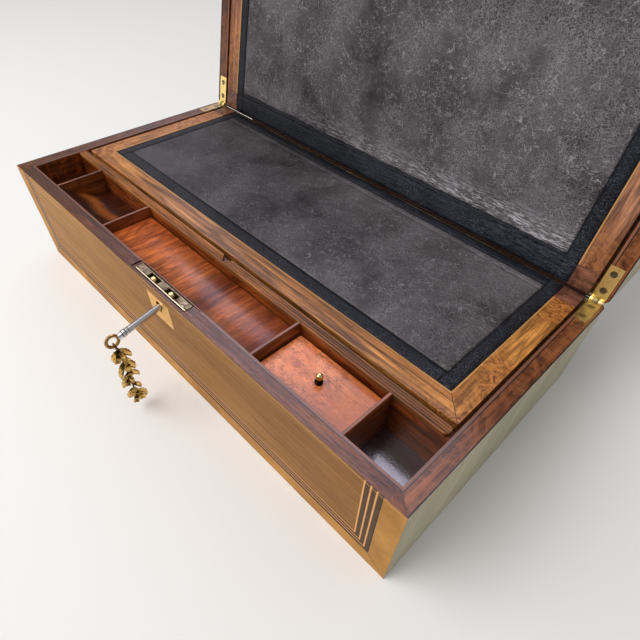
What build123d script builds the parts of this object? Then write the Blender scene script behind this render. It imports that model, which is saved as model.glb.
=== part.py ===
from build123d import *
import math
import os

os.makedirs("parts", exist_ok=True)

# Writing slope: a veneered box sawn diagonally into a base and a lid, hinged at the back, with a
# leather-covered writing flap in each half. Millimetres, +X along the box, +Y from the lock side to
# the hinge side, +Z up, origin at the middle of the underside.

# ---- driving dimensions -------------------------------------------------------------------------
WIDTH = 457.0              # outside length along X
DEPTH = 235.8              # outside depth along Y
HEIGHT = 167.0             # outside height with the lid shut
FRONT_RISE = 106.0         # height of the base at the lock side
LID_REST = 96.3            # angle of the lid from shut, as it stands open
SHUT_GAP = 0.3             # slit between the two rims when shut

WALL = 9.2                 # carcass walls
VENEER = 0.8               # veneer on the outside faces
LINING = 2.5               # thin boards inside the walls
RIM = 3.0                  # rosewood strip on the walls' sloping edges
BACK_CORNER = 5.0          # rounding of the upright corners at the hinge side
BOTTOM = 8.0               # bottom board
TOP = 8.0                  # lid's top board

WELL_DEPTH = 43.8          # compartments, front to back
BACK_BOARD = 8.0           # board behind the compartments
RAIL_THICK = 4.1           # reeded strip on that board
RAIL_SINK = 0.4            # its top below the rims
REED_COUNT = 4             # beads along the strip
REED_RISE = 0.6            # height of a bead
RAIL_END_RADIUS = 3.6      # rounding of the strip's right end
RAIL_END_GAP = 2.5         # gap from that end to the lining
NOTCH_X = 6.5              # finger notch in the strip
NOTCH_WIDTH = 12.2
NOTCH_LAND = 1.2           # wood left in front of the notch
DIVIDER = 2.2              # compartment dividers
END_WELL = 41.9            # wells at the two ends, along the box
SECOND_WELL = 77.8         # and the wells next to them
DIVIDER_SINK = 0.5
WELL_FLOOR_Z = 60.0        # level floor under the wells
WELL_FLOOR = 6.0
SCOOP_FRONT = 1.0          # scooped floor of the second compartment, below the rims at its front,
SCOOP_MIDDLE = 14.8        # four tenths of the way back
SCOOP_BACK = 22.0          # and at its back
SCOOP_LOW = 26.0           # underside of that block, below the rims

BOARD = 3.2                # loose boards over the pen well and the fourth well
BOARD_DROP = 10.0          # their tops below the rims
BOARD_FRONT_GAP = 0.6
BOARD_BACK_GAP = 1.8
BOARD_END_GAP = 0.6
COVER_LEFT_GAP = 2.2
LEDGE_REACH = 3.5          # cleats under the loose boards
LEDGE_HIGH = 4.0
SEAT_GAP = 0.1             # play between a loose piece and what it lies on

FLAP_GAP = 2.6             # slit round the writing flaps
FLAP_SINK = 0.6            # flap surfaces below the rims
FLAP_THICK = 8.0
FRAME_SIDE = 16.4          # frame of a writing flap, stiles
FRAME_FRONT = 17.5         # and front rail
LEATHER = 1.2
BORDER_SIDE = 10.5         # dark leather border, at the stiles
BORDER_FRONT = 12.0        # and at the front rail
LID_BORDER_BACK = 4.0      # and at the hinge side of the lid's flap
STRIP_REACH = 17.6         # fixed strip at the hinge side, from the box's back face
STRIP_THICK = 5.0
CREASE_GAP = 0.3           # slit under the folding leather
FLAP_LEDGE_REACH = 7.0     # cleats under the flaps
FLAP_LEDGE_HIGH = 6.0

PIN_OFFSET = 0.2           # hinge pins, behind the box's back face
PIN_RADIUS = 1.1
PIN_PLAY = 0.05
KNUCKLE_RADIUS = 2.8
KNUCKLE_GAP = 0.15
LEAF_WIDTH = 10.0
LEAF_OUTER_INSET = 2.5     # from the box's side face
LEAF_REACH = 29.4          # from the pin
LEAF_THICK = 1.2
HINGE_SCREW_NEAR = 9.2     # screws, from the pin
HINGE_SCREW_FAR = 23.4
HINGE_SCREW_HEAD = 2.6
HINGE_SCREW_SHANK = 1.3
HINGE_SCREW_LENGTH = 8.0
SCREW_SLOT = 0.6
SCREW_SLOT_DEEP = 0.5

LOCK_X = 2.0               # middle of the lock
LOCK_Y_INSET = 7.25        # its middle line, from the front face
SELVAGE_LENGTH = 62.6      # edge plate
SELVAGE_WIDTH = 8.5
SELVAGE_THICK = 2.0
SELVAGE_SINK = 0.4
LOCK_SCREW_X = 26.0
LOCK_SCREW_HEAD = 2.8
LOCK_SCREW_SHANK = 1.4
LOCK_SCREW_LENGTH = 11.0
HASP_X = 11.3              # openings in the plate, from its middle
HASP_LENGTH = 13.0
HASP_WIDTH = 5.0
REBATE_LEFT = 4.0          # the rebate runs past the plate's ends
REBATE_RIGHT = 8.5
REBATE_DEEP = 2.6
REBATE_END_DEEP = 1.0      # but there it is shallower
REBATE_PLAY = 0.35
CASE_HALF = 22.0           # brass case below the plate
CASE_WIDTH = 7.0
CASE_WALL = 1.0
CASE_BOTTOM_Z = 72.0
CASE_PLAY = 0.3
BOLT_LEFT = 19.0           # bolt bar, ends from the lock's middle
BOLT_RIGHT = 12.0
BOLT_BOTTOM_Z = 94.4
BOLT_HIGH = 4.0
BOLT_THICK = 2.8
BOLT_TRAVEL = 6.0
HOOK_POST = 2.7            # hooks that rise into the openings
HOOK_START = 6.2           # their left side, left of the opening's middle
HOOK_REACH = 2.8
HOOK_TIP_HIGH = 2.4
HOOK_THICK = 1.2
HOOK_SINK = 2.0
TALON_LEFT = 11.0          # notch in the bar that the key's bit turns in
TALON_RIGHT = 4.0
TALON_DEEP = 2.2
STAPLE_SHIFT = 3.6         # lid staples, right of the opening's middle
STAPLE_THICK = 1.8
STAPLE_WIDTH = 3.8
STAPLE_DROP = 6.4
STAPLE_LEG = 1.0
STAPLE_EYE_HIGH = 3.8
LINK_LEFT = 26.0           # plate in the lid's edge
LINK_RIGHT = 28.0
LINK_THICK = 1.6
LINK_SCREW_X = 22.5

KEY_Z = 89.5               # drill pin and keyhole
KEY_DROOP = 6.9            # the key hangs down in its worn lock, degrees
KEY_RADIUS = 2.65
KEY_BORE = 1.5
KEY_BORE_DEEP = 12.0
KEY_TIP_GAP = 0.8
DRILL_PIN = 0.9
DRILL_PIN_LENGTH = 4.0
KEY_HOLE_PLAY = 1.35
KEY_REACH = 40.3           # from the tip to the collar
COLLAR_RADIUS = 3.15       # two thin rings where the pipe ends
COLLAR_RING = 0.8
COLLAR_GROOVE = 0.5
NECK_WIDE = 2.75           # tapered neck from the rings to the bow
NECK_SLIM = 2.0
BIT_THICK = 2.0
BIT_LENGTH = 3.0
BIT_REACH = 7.0
BIT_PLAY = 0.4
BOW_RADIUS = 4.7           # ring of the bow, to the middle of its wire
BOW_WIRE = 1.25
BOW_REACH = 50.8           # from the tip to its middle
BOW_TWIST = 9.0            # its plane, from the bit's
FOB_RING_RADIUS = 2.6
FOB_RING_WIRE = 0.6
FOB_PLAY = 0.25
FOB_BOTTOM_Z = 9.0
FOB_STEM = 1.5
FOB_EYE_RADIUS = 1.9
FOB_EYE_WIRE = 0.6
FOB_LEAVES = 9
LEAF_LENGTH = 13.0
LEAF_SPREAD = 9.0
LEAF_METAL = 1.6
LEAF_DROOP = 38.0          # leaf blades, away from the stem

PLATE_WIDTH = 28.0         # inlaid plate round the keyhole
PLATE_HIGH = 25.0
PLATE_Z = 85.0

KNOB_BALL = 2.6
KNOB_HEIGHT = 8.6          # above the cover
KNOB_FLANGE = 2.8
KNOB_FLANGE_HIGH = 1.4
KNOB_NECK = 1.4
KNOB_PEG = 1.3

# ---- places worked out from them ----------------------------------------------------------------
half_w = WIDTH / 2
front_y = -DEPTH / 2
back_y = DEPTH / 2
pin_y = back_y + PIN_OFFSET
pin_z = HEIGHT / 2
slope = (FRONT_RISE - pin_z) / (DEPTH + PIN_OFFSET)
slope_angle = math.degrees(math.atan(slope))
pin_axis = Axis((0, pin_y, pin_z), (1, 0, 0))

wall_outer_x = half_w - VENEER
wall_inner_x = wall_outer_x - WALL
room_x = wall_inner_x - LINING
wall_front_y = front_y + VENEER
wall_front_in = wall_front_y + WALL
well_front_y = wall_front_in + LINING
well_back_y = well_front_y + WELL_DEPTH
paper_front_y = well_back_y + BACK_BOARD
wall_back_y = back_y - VENEER
wall_back_in = wall_back_y - WALL
strip_front_y = back_y - STRIP_REACH
crease_y = strip_front_y - CREASE_GAP / 2
flap_back_y = strip_front_y - CREASE_GAP
flap_x = room_x - FLAP_GAP
flap_front_y = paper_front_y + FLAP_GAP + 0.3
lid_flap_front_y = well_front_y + FLAP_GAP


def rim_z(y):
    """Height of the sloping plane that the two halves meet on."""
    return pin_z + slope * (pin_y - y)


# The slope's own frame: origin on the pins' axis, local y down the slope, local z square to it.
slope_frame = Plane(
    origin=(0, pin_y, pin_z),
    x_dir=(1, 0, 0),
    z_dir=(0, math.sin(math.radians(slope_angle)), math.cos(math.radians(slope_angle))),
)


# ---- ways of making a piece ---------------------------------------------------------------------
def x_prism(points, x0, x1):
    """Board whose section is drawn in Y and Z, from x0 to x1."""
    section = Plane(origin=(x0, 0, 0), x_dir=(0, 1, 0), z_dir=(1, 0, 0))
    face = make_face(Polyline(*points, close=True))
    return extrude(section * face, x1 - x0)


def band(x0, x1, y0, y1, low, high):
    """Board that follows the slope between two heights measured from the rim plane."""
    points = [
        (y0, rim_z(y0) + low),
        (y1, rim_z(y1) + low),
        (y1, rim_z(y1) + high),
        (y0, rim_z(y0) + high),
    ]
    return x_prism(points, x0, x1)


def upright(x0, x1, y0, y1, z0, high):
    """Board that stands on the level z0 and whose top follows the slope."""
    points = [(y0, z0), (y1, z0), (y1, rim_z(y1) + high), (y0, rim_z(y0) + high)]
    return x_prism(points, x0, x1)


def hanging(x0, x1, y0, y1, low, z1):
    """Board of the shut lid: its lower edge follows the slope and its top is level."""
    points = [(y0, rim_z(y0) + low), (y1, rim_z(y1) + low), (y1, z1), (y0, z1)]
    return x_prism(points, x0, x1)


def block(x0, x1, y0, y1, z0, z1):
    """Plain board along the axes."""
    return Pos(x0, y0, z0) * Box(x1 - x0, y1 - y0, z1 - z0, align=Align.MIN)


def plan_prism(points, z0, z1):
    """Upright column over an outline drawn in X and Y."""
    return Pos(0, 0, z0) * extrude(make_face(Polyline(*points, close=True)), z1 - z0)


def round_backed(solid):
    """A piece of the outside, trimmed to the rounded corners at the hinge side."""
    outline = Rectangle(WIDTH, DEPTH)
    corners = outline.vertices().group_by(Axis.Y)[-1]
    return solid & extrude(fillet(corners, BACK_CORNER), HEIGHT)


def mirrored(solid):
    """The same piece on the other side of the box."""
    return mirror(solid, about=Plane.YZ)


def opened(solid):
    """A piece of the lid, drawn with the lid shut, turned to where the lid stands."""
    return solid.rotate(pin_axis, -LID_REST)


def countersunk_screw(head, shank, length, slotted=True):
    """Wood screw along -Z with its head's face at the origin."""
    cone_high = head - shank
    cone = Pos(0, 0, -cone_high) * Cone(shank, head, cone_high, align=(Align.CENTER, Align.CENTER, Align.MIN))
    stem = Pos(0, 0, -length) * Cylinder(shank, length - cone_high / 2, align=(Align.CENTER, Align.CENTER, Align.MIN))
    screw = cone + stem
    if slotted:
        slot = Pos(0, 0, -SCREW_SLOT_DEEP) * Box(
            3 * head, SCREW_SLOT, SCREW_SLOT_DEEP, align=(Align.CENTER, Align.CENTER, Align.MIN)
        )
        screw -= slot
    return screw


def save(name, *solids):
    """One file for a sub-part: a single solid, or a group of separate ones."""
    shape = solids[0] if len(solids) == 1 else Compound(list(solids))
    export_step(shape, f"parts/{name}.step")


# ---- hinges: drawn first, because the rims are cut to take them ---------------------------------
leaf_x1 = half_w - LEAF_OUTER_INSET
leaf_x0 = leaf_x1 - LEAF_WIDTH
knuckle_length = LEAF_WIDTH / 3


def hinge_leaf(side, face, knuckles):
    """Leaf on one side of the slope: face is its outer face's height over the rim plane."""
    low, high = (face - LEAF_THICK, face) if side < 0 else (face, face + LEAF_THICK)
    plate = Pos(leaf_x0, -LEAF_REACH, low) * Box(LEAF_WIDTH, LEAF_REACH, high - low, align=Align.MIN)
    around_pin = Rot(0, 90, 0) * Cylinder(
        KNUCKLE_RADIUS + KNUCKLE_GAP, LEAF_WIDTH, align=(Align.CENTER, Align.CENTER, Align.MIN)
    )
    leaf = plate - Pos(leaf_x0, 0, 0) * around_pin
    bore = PIN_RADIUS if side < 0 else PIN_RADIUS + PIN_PLAY
    for index in knuckles:
        x0 = leaf_x0 + index * knuckle_length + KNUCKLE_GAP / 2
        length = knuckle_length - KNUCKLE_GAP
        barrel = Rot(0, 90, 0) * Cylinder(KNUCKLE_RADIUS, length, align=(Align.CENTER, Align.CENTER, Align.MIN))
        web = Pos(0, -KNUCKLE_RADIUS - 2, low) * Box(length, KNUCKLE_RADIUS + 2, high - low, align=Align.MIN)
        leaf += Pos(x0, 0, 0) * (barrel + web)
    hole = Rot(0, 90, 0) * Cylinder(bore, LEAF_WIDTH, align=(Align.CENTER, Align.CENTER, Align.MIN))
    return leaf - Pos(leaf_x0, 0, 0) * hole


def hinge_screws(side, face, slotted=True):
    """The two screws of one leaf, pointing into the wood."""
    x = (leaf_x0 + leaf_x1) / 2
    screws = []
    for reach in (HINGE_SCREW_NEAR, HINGE_SCREW_FAR):
        screw = countersunk_screw(HINGE_SCREW_HEAD, HINGE_SCREW_SHANK, HINGE_SCREW_LENGTH, slotted)
        if side > 0:
            screw = Rot(180, 0, 0) * screw
        screws.append(Pos(x, -reach, face) * Rot(0, 0, 20) * screw)
    return screws


base_screws_right = [slope_frame.location * s for s in hinge_screws(-1, 0.0)]
base_screw_cuts = [slope_frame.location * s for s in hinge_screws(-1, 0.0, slotted=False)]
base_leaf_right = slope_frame.location * hinge_leaf(-1, 0.0, [1])
for cut in base_screw_cuts:
    base_leaf_right -= cut

lid_screws_right = [slope_frame.location * s for s in hinge_screws(1, SHUT_GAP)]
lid_screw_cuts = [slope_frame.location * s for s in hinge_screws(1, SHUT_GAP, slotted=False)]
lid_leaf_right = slope_frame.location * hinge_leaf(1, SHUT_GAP, [0, 2])
for cut in lid_screw_cuts:
    lid_leaf_right -= cut

pin_right = slope_frame.location * Pos(leaf_x0, 0, 0) * Rot(0, 90, 0) * Cylinder(
    PIN_RADIUS, LEAF_WIDTH, align=(Align.CENTER, Align.CENTER, Align.MIN)
)
# the recess in the rim is as deep as the leaf, with a groove for the knuckles at the back
leaf_recess = slope_frame.location * Pos(leaf_x0, -LEAF_REACH, -LEAF_THICK) * Box(
    LEAF_WIDTH, LEAF_REACH, LEAF_THICK, align=Align.MIN
)
lid_leaf_recess = slope_frame.location * Pos(leaf_x0, -LEAF_REACH, 0) * Box(
    LEAF_WIDTH, LEAF_REACH, SHUT_GAP + LEAF_THICK, align=Align.MIN
)

knuckle_recess = slope_frame.location * Pos(leaf_x0, 0, 0) * Rot(0, 90, 0) * Cylinder(
    KNUCKLE_RADIUS + KNUCKLE_GAP, LEAF_WIDTH, align=(Align.CENTER, Align.CENTER, Align.MIN)
)
leaf_recess += knuckle_recess
lid_leaf_recess += knuckle_recess

save("base_hinge_leaves", base_leaf_right, mirrored(base_leaf_right))
save("hinge_pins", pin_right, mirrored(pin_right))
save("base_hinge_screws", *base_screws_right, *[mirrored(s) for s in base_screws_right])
save("lid_hinge_leaves", opened(lid_leaf_right), opened(mirrored(lid_leaf_right)))
lid_screws = lid_screws_right + [mirrored(s) for s in lid_screws_right]
save("lid_hinge_screws", *[opened(s) for s in lid_screws])


# ---- lock and key -------------------------------------------------------------------------------
lock_y = front_y + LOCK_Y_INSET
selvage_y0 = lock_y - SELVAGE_WIDTH / 2
selvage_y1 = lock_y + SELVAGE_WIDTH / 2
selvage_low = -SELVAGE_SINK - SELVAGE_THICK
selvage_x0 = LOCK_X - SELVAGE_LENGTH / 2
selvage_x1 = LOCK_X + SELVAGE_LENGTH / 2
case_y0 = lock_y - CASE_WIDTH / 2
case_y1 = lock_y + CASE_WIDTH / 2
room_y0 = case_y0 + CASE_WALL
room_y1 = case_y1 - CASE_WALL
key_hole = KEY_RADIUS + KEY_HOLE_PLAY
tilt = Rot(-slope_angle, 0, 0)


def lock_screw(x, slotted=True):
    """One screw of the edge plate, square to the slope."""
    screw = countersunk_screw(LOCK_SCREW_HEAD, LOCK_SCREW_SHANK, LOCK_SCREW_LENGTH, slotted)
    return Pos(x, lock_y, rim_z(lock_y) - SELVAGE_SINK) * tilt * Rot(0, 0, 30) * screw


lock_screw_xs = [LOCK_X - LOCK_SCREW_X, LOCK_X + LOCK_SCREW_X]
lock_screws = [lock_screw(x) for x in lock_screw_xs]
lock_screw_cuts = [lock_screw(x, slotted=False) for x in lock_screw_xs]

selvage = band(selvage_x0, selvage_x1, selvage_y0, selvage_y1, selvage_low, -SELVAGE_SINK)
for side in (-1, 1):
    middle = LOCK_X + side * HASP_X
    selvage -= band(
        middle - HASP_LENGTH / 2, middle + HASP_LENGTH / 2,
        lock_y - HASP_WIDTH / 2, lock_y + HASP_WIDTH / 2, selvage_low - 1, 1,
    )
for cut in lock_screw_cuts:
    selvage -= cut
save("lock_selvage", selvage)
save("lock_screws", *lock_screws)


def keyhole_cut(radius, slot_half, y0, y1):
    """Round hole with the slot for the bit below it, from y0 to y1."""
    hole = Pos(LOCK_X, y0, KEY_Z) * Rot(-90, 0, 0) * Cylinder(
        radius, y1 - y0, align=(Align.CENTER, Align.CENTER, Align.MIN)
    )
    slot = block(LOCK_X - slot_half, LOCK_X + slot_half, y0, y1, KEY_Z - BIT_REACH - BIT_PLAY, KEY_Z)
    return hole + slot


slot_half = BIT_THICK / 2 + BIT_PLAY
case = upright(LOCK_X - CASE_HALF, LOCK_X + CASE_HALF, case_y0, case_y1, CASE_BOTTOM_Z, selvage_low)
case -= upright(
    LOCK_X - CASE_HALF + CASE_WALL, LOCK_X + CASE_HALF - CASE_WALL,
    room_y0, room_y1, CASE_BOTTOM_Z + CASE_WALL, 0,
)
case -= keyhole_cut(key_hole, slot_half, case_y0 - 1, room_y0 + 0.1)
save("lock_case", case)

drill_pin = Pos(LOCK_X, room_y1 - DRILL_PIN_LENGTH, KEY_Z) * Rot(-90, 0, 0) * Cylinder(
    DRILL_PIN, DRILL_PIN_LENGTH, align=(Align.CENTER, Align.CENTER, Align.MIN)
)
save("lock_drill_pin", drill_pin)

bolt_top = BOLT_BOTTOM_Z + BOLT_HIGH
hook_top = rim_z(lock_y + HOOK_THICK) - HOOK_SINK
bolt = block(
    LOCK_X - BOLT_LEFT, LOCK_X + BOLT_RIGHT,
    lock_y - BOLT_THICK / 2, lock_y + BOLT_THICK / 2, BOLT_BOTTOM_Z, bolt_top,
)
bolt -= block(
    LOCK_X - TALON_LEFT, LOCK_X - TALON_RIGHT,
    lock_y - BOLT_THICK, lock_y + BOLT_THICK, BOLT_BOTTOM_Z - 1, BOLT_BOTTOM_Z + TALON_DEEP,
)
for side in (-1, 1):
    post_x = LOCK_X + side * HASP_X - HOOK_START
    hook = block(
        post_x, post_x + HOOK_POST,
        lock_y - HOOK_THICK / 2, lock_y + HOOK_THICK / 2, bolt_top - 0.5, hook_top,
    )
    tip = block(
        post_x + HOOK_POST - 0.5, post_x + HOOK_POST + HOOK_REACH,
        lock_y - HOOK_THICK / 2, lock_y + HOOK_THICK / 2, hook_top - HOOK_TIP_HIGH, hook_top,
    )
    hook_solid = hook + tip
    crown = hook_solid.edges().filter_by(Axis.Y).group_by(Axis.Z)[-1]
    bolt += fillet(crown, 1.0)
save("lock_bolt", bolt)

# the key is drawn level, then turned down about its tip
bit_y0 = room_y0 + (room_y1 - room_y0 - BIT_LENGTH) / 2
key_tip_y = room_y1 - KEY_TIP_GAP
key_tip = Axis((LOCK_X, key_tip_y, KEY_Z), (1, 0, 0))
collar_y = key_tip_y - KEY_REACH
bow_y = key_tip_y - BOW_REACH
shank = Pos(LOCK_X, collar_y, KEY_Z) * Rot(-90, 0, 0) * Cylinder(
    KEY_RADIUS, key_tip_y - collar_y, align=(Align.CENTER, Align.CENTER, Align.MIN)
)
shank += block(
    LOCK_X - BIT_THICK / 2, LOCK_X + BIT_THICK / 2,
    bit_y0, bit_y0 + BIT_LENGTH, KEY_Z - BIT_REACH, KEY_Z,
)
for index in range(2):
    ring_y = collar_y - index * (COLLAR_RING + COLLAR_GROOVE)
    ring = Pos(LOCK_X, ring_y - COLLAR_RING, KEY_Z) * Rot(-90, 0, 0) * Cylinder(
        COLLAR_RADIUS, COLLAR_RING, align=(Align.CENTER, Align.CENTER, Align.MIN)
    )
    shank += fillet(ring.edges().filter_by(GeomType.CIRCLE), COLLAR_RING / 3)
neck_y = bow_y + BOW_RADIUS
shank += Pos(LOCK_X, neck_y, KEY_Z) * Rot(-90, 0, 0) * Cone(
    NECK_SLIM, NECK_WIDE, collar_y - neck_y, align=(Align.CENTER, Align.CENTER, Align.MIN)
)
bow = Pos(LOCK_X, bow_y, KEY_Z) * Rot(0, 90 - BOW_TWIST, 0) * Torus(BOW_RADIUS, BOW_WIRE)
shank -= bow
shank -= Pos(LOCK_X, key_tip_y - KEY_BORE_DEEP, KEY_Z) * Rot(-90, 0, 0) * Cylinder(
    KEY_BORE, KEY_BORE_DEEP + 1, align=(Align.CENTER, Align.CENTER, Align.MIN)
)
shank = shank.solids().sort_by(SortBy.VOLUME)[-1]
save("key_shank", shank.rotate(key_tip, KEY_DROOP))
save("key_bow", bow.rotate(key_tip, KEY_DROOP))

droop = math.radians(KEY_DROOP)
twist = math.radians(BOW_TWIST)
fob_x = LOCK_X + BOW_RADIUS * math.sin(twist)
fob_y = key_tip_y - BOW_REACH * math.cos(droop)
fob_pivot_z = KEY_Z - BOW_REACH * math.sin(droop) - BOW_RADIUS * math.cos(twist)
ring_z = fob_pivot_z + BOW_WIRE + FOB_PLAY - (FOB_RING_RADIUS - FOB_RING_WIRE)
ring = Pos(fob_x, fob_y, ring_z) * Rot(90, 0, 0) * Torus(FOB_RING_RADIUS, FOB_RING_WIRE)
save("fob_ring", ring)

# the cluster's eye hangs on the jump ring, and its stem carries leaves that turn round it
eye_z = ring_z - FOB_RING_RADIUS - (FOB_EYE_RADIUS - FOB_EYE_WIRE) + FOB_RING_WIRE + 0.05
stem_top = eye_z - FOB_EYE_RADIUS
stem_low = FOB_BOTTOM_Z + LEAF_LENGTH * math.cos(math.radians(LEAF_DROOP)) - 2
eye = Pos(fob_x, fob_y, eye_z) * Rot(0, 90, 0) * Torus(FOB_EYE_RADIUS, FOB_EYE_WIRE)
fob = eye + Pos(fob_x, fob_y, stem_low) * Cylinder(
    FOB_STEM, stem_top - stem_low, align=(Align.CENTER, Align.CENTER, Align.MIN)
)
leaf_outline = [
    (0.0, 1.0),
    (0.5 * LEAF_SPREAD, -0.18 * LEAF_LENGTH),
    (0.22 * LEAF_SPREAD, -0.38 * LEAF_LENGTH),
    (0.42 * LEAF_SPREAD, -0.62 * LEAF_LENGTH),
    (0.0, -LEAF_LENGTH),
    (-0.42 * LEAF_SPREAD, -0.62 * LEAF_LENGTH),
    (-0.22 * LEAF_SPREAD, -0.38 * LEAF_LENGTH),
    (-0.5 * LEAF_SPREAD, -0.18 * LEAF_LENGTH),
]
leaf_blade = extrude(Plane.XZ * make_face(Polyline(*leaf_outline, close=True)), LEAF_METAL / 2, both=True)
for index in range(FOB_LEAVES):
    share = index / (FOB_LEAVES - 1)
    leaf_z = stem_top - 3 - share * (stem_top - stem_low - 4)
    turn = 137.5 * index
    fob += Pos(fob_x, fob_y, leaf_z) * Rot(0, 0, turn) * Rot(-LEAF_DROOP, 0, 0) * leaf_blade
save("fob_leaves", fob)

plate_z0 = PLATE_Z - PLATE_HIGH / 2
plate = block(
    LOCK_X - PLATE_WIDTH / 2, LOCK_X + PLATE_WIDTH / 2,
    front_y, wall_front_y, plate_z0, plate_z0 + PLATE_HIGH,
)
plate_cut = plate
front_keyhole = keyhole_cut(key_hole, slot_half, front_y - 1, case_y0)
plate -= front_keyhole
save("escutcheon", plate)


# ---- base carcass -------------------------------------------------------------------------------
rebate = band(
    selvage_x0 - REBATE_PLAY, selvage_x1 + REBATE_PLAY,
    selvage_y0 - REBATE_PLAY, selvage_y1 + REBATE_PLAY, -REBATE_DEEP, 1,
)
rebate += band(
    selvage_x0 - REBATE_LEFT, selvage_x1 + REBATE_RIGHT,
    selvage_y0 - REBATE_PLAY, selvage_y1 + REBATE_PLAY, -REBATE_END_DEEP, 1,
)
case_pocket = upright(
    LOCK_X - CASE_HALF - CASE_PLAY, LOCK_X + CASE_HALF + CASE_PLAY,
    case_y0 - CASE_PLAY, case_y1 + CASE_PLAY, CASE_BOTTOM_Z - CASE_PLAY, 1,
)

save("base_bottom", block(-wall_inner_x, wall_inner_x, wall_front_in, wall_back_in, 0, BOTTOM))

front_wall = upright(-wall_inner_x, wall_inner_x, wall_front_y, wall_front_in, 0, -RIM)
front_wall = front_wall - case_pocket - front_keyhole
for cut in lock_screw_cuts:
    front_wall -= cut
save("base_front_wall", front_wall)
save("base_back_wall", upright(-wall_inner_x, wall_inner_x, wall_back_in, wall_back_y, 0, -STRIP_THICK))

right_wall = round_backed(upright(wall_inner_x, wall_outer_x, wall_front_y, wall_back_y, 0, -RIM))
for cut in base_screw_cuts:
    right_wall -= cut
save("base_left_wall", mirrored(right_wall))
save("base_right_wall", right_wall)

rim_slab = round_backed(band(-wall_outer_x, wall_outer_x, wall_front_y, wall_back_y, -RIM, 0))
front_rim_plan = [
    (-wall_outer_x, wall_front_y),
    (wall_outer_x, wall_front_y),
    (wall_inner_x, wall_front_in),
    (-wall_inner_x, wall_front_in),
]
side_rim_plan = [
    (wall_outer_x, wall_front_y),
    (wall_outer_x, wall_back_y),
    (wall_inner_x, wall_back_y),
    (wall_inner_x, wall_front_in),
]
front_rim = rim_slab & plan_prism(front_rim_plan, 0, HEIGHT)
front_rim = front_rim - rebate - case_pocket
for cut in lock_screw_cuts:
    front_rim -= cut
right_rim = (rim_slab & plan_prism(side_rim_plan, 0, HEIGHT)) - leaf_recess
for cut in base_screw_cuts:
    right_rim -= cut
save("base_rims", front_rim, right_rim, mirrored(right_rim))

front_lining = upright(-wall_inner_x, wall_inner_x, wall_front_in, well_front_y, BOTTOM, 0)
front_lining = front_lining - rebate - case_pocket
side_lining_outline = [
    (well_front_y, BOTTOM),
    (wall_back_in, BOTTOM),
    (wall_back_in, rim_z(wall_back_in) - STRIP_THICK),
    (wall_back_y, rim_z(wall_back_y) - STRIP_THICK),
    (wall_back_y, rim_z(wall_back_y)),
    (well_front_y, rim_z(well_front_y)),
]
right_lining = x_prism(side_lining_outline, room_x, wall_inner_x) - leaf_recess
save("base_linings", front_lining, right_lining, mirrored(right_lining))

front_veneer = upright(-half_w, half_w, front_y, wall_front_y, 0, 0)
front_veneer = front_veneer - plate_cut - front_keyhole
save("base_front_veneer", front_veneer)
right_veneer = round_backed(upright(wall_outer_x, half_w, wall_front_y, wall_back_y, 0, 0))
back_veneer = round_backed(upright(-half_w, half_w, wall_back_y, back_y, 0, 0))
back_veneer = back_veneer - leaf_recess - mirrored(leaf_recess)
save("base_veneers", back_veneer, right_veneer, mirrored(right_veneer))


# ---- compartments -------------------------------------------------------------------------------
save(
    "compartment_floor",
    block(-room_x, room_x, well_front_y, well_back_y, WELL_FLOOR_Z - WELL_FLOOR, WELL_FLOOR_Z),
)
rail_low = -RAIL_SINK - RAIL_THICK
save("compartment_back", upright(-room_x, room_x, well_back_y, paper_front_y, BOTTOM, rail_low))

# the reeded strip's section: flat underside, a row of beads on top, sheared to follow the slope
reed = BACK_BOARD / REED_COUNT
rail_edges = []
rail_end = RAIL_SINK + REED_RISE


def rail_point(step, over):
    """Point of the section, step along it and over the beads' feet."""
    y = well_back_y + step
    return (y, rim_z(y) - rail_end + over)


for index in range(REED_COUNT):
    rail_edges.append(
        ThreePointArc(
            rail_point(index * reed, 0),
            rail_point((index + 0.5) * reed, REED_RISE),
            rail_point((index + 1) * reed, 0),
        )
    )
rail_foot = (paper_front_y, rim_z(paper_front_y) + rail_low)
rail_heel = (well_back_y, rim_z(well_back_y) + rail_low)
rail_edges.append(Polyline(rail_point(BACK_BOARD, 0), rail_foot, rail_heel, rail_point(0, 0)))
rail_section = Plane(origin=(-room_x, 0, 0), x_dir=(0, 1, 0), z_dir=(1, 0, 0))
rail_right = room_x - RAIL_END_GAP
rail = extrude(rail_section * make_face(rail_edges), rail_right + room_x)
corner = plan_prism(
    [
        (rail_right - RAIL_END_RADIUS, well_back_y),
        (rail_right + 1, well_back_y),
        (rail_right + 1, paper_front_y),
        (rail_right - RAIL_END_RADIUS, paper_front_y),
    ],
    0, HEIGHT,
)
round_end = Pos(rail_right - RAIL_END_RADIUS, well_back_y + RAIL_END_RADIUS, 0) * Cylinder(
    RAIL_END_RADIUS, HEIGHT, align=(Align.CENTER, Align.CENTER, Align.MIN)
)
round_end += Pos(rail_right - RAIL_END_RADIUS, paper_front_y - RAIL_END_RADIUS, 0) * Cylinder(
    RAIL_END_RADIUS, HEIGHT, align=(Align.CENTER, Align.CENTER, Align.MIN)
)
round_end += block(
    rail_right - RAIL_END_RADIUS, rail_right,
    well_back_y + RAIL_END_RADIUS, paper_front_y - RAIL_END_RADIUS, 0, HEIGHT,
)
rail -= corner - round_end
notch = plan_prism(
    [
        (NOTCH_X, well_back_y + NOTCH_LAND),
        (NOTCH_X + NOTCH_WIDTH / 2, paper_front_y + 0.1),
        (NOTCH_X - NOTCH_WIDTH / 2, paper_front_y + 0.1),
    ],
    0, HEIGHT,
)
rail -= notch
save("reeded_rail", rail)

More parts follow.
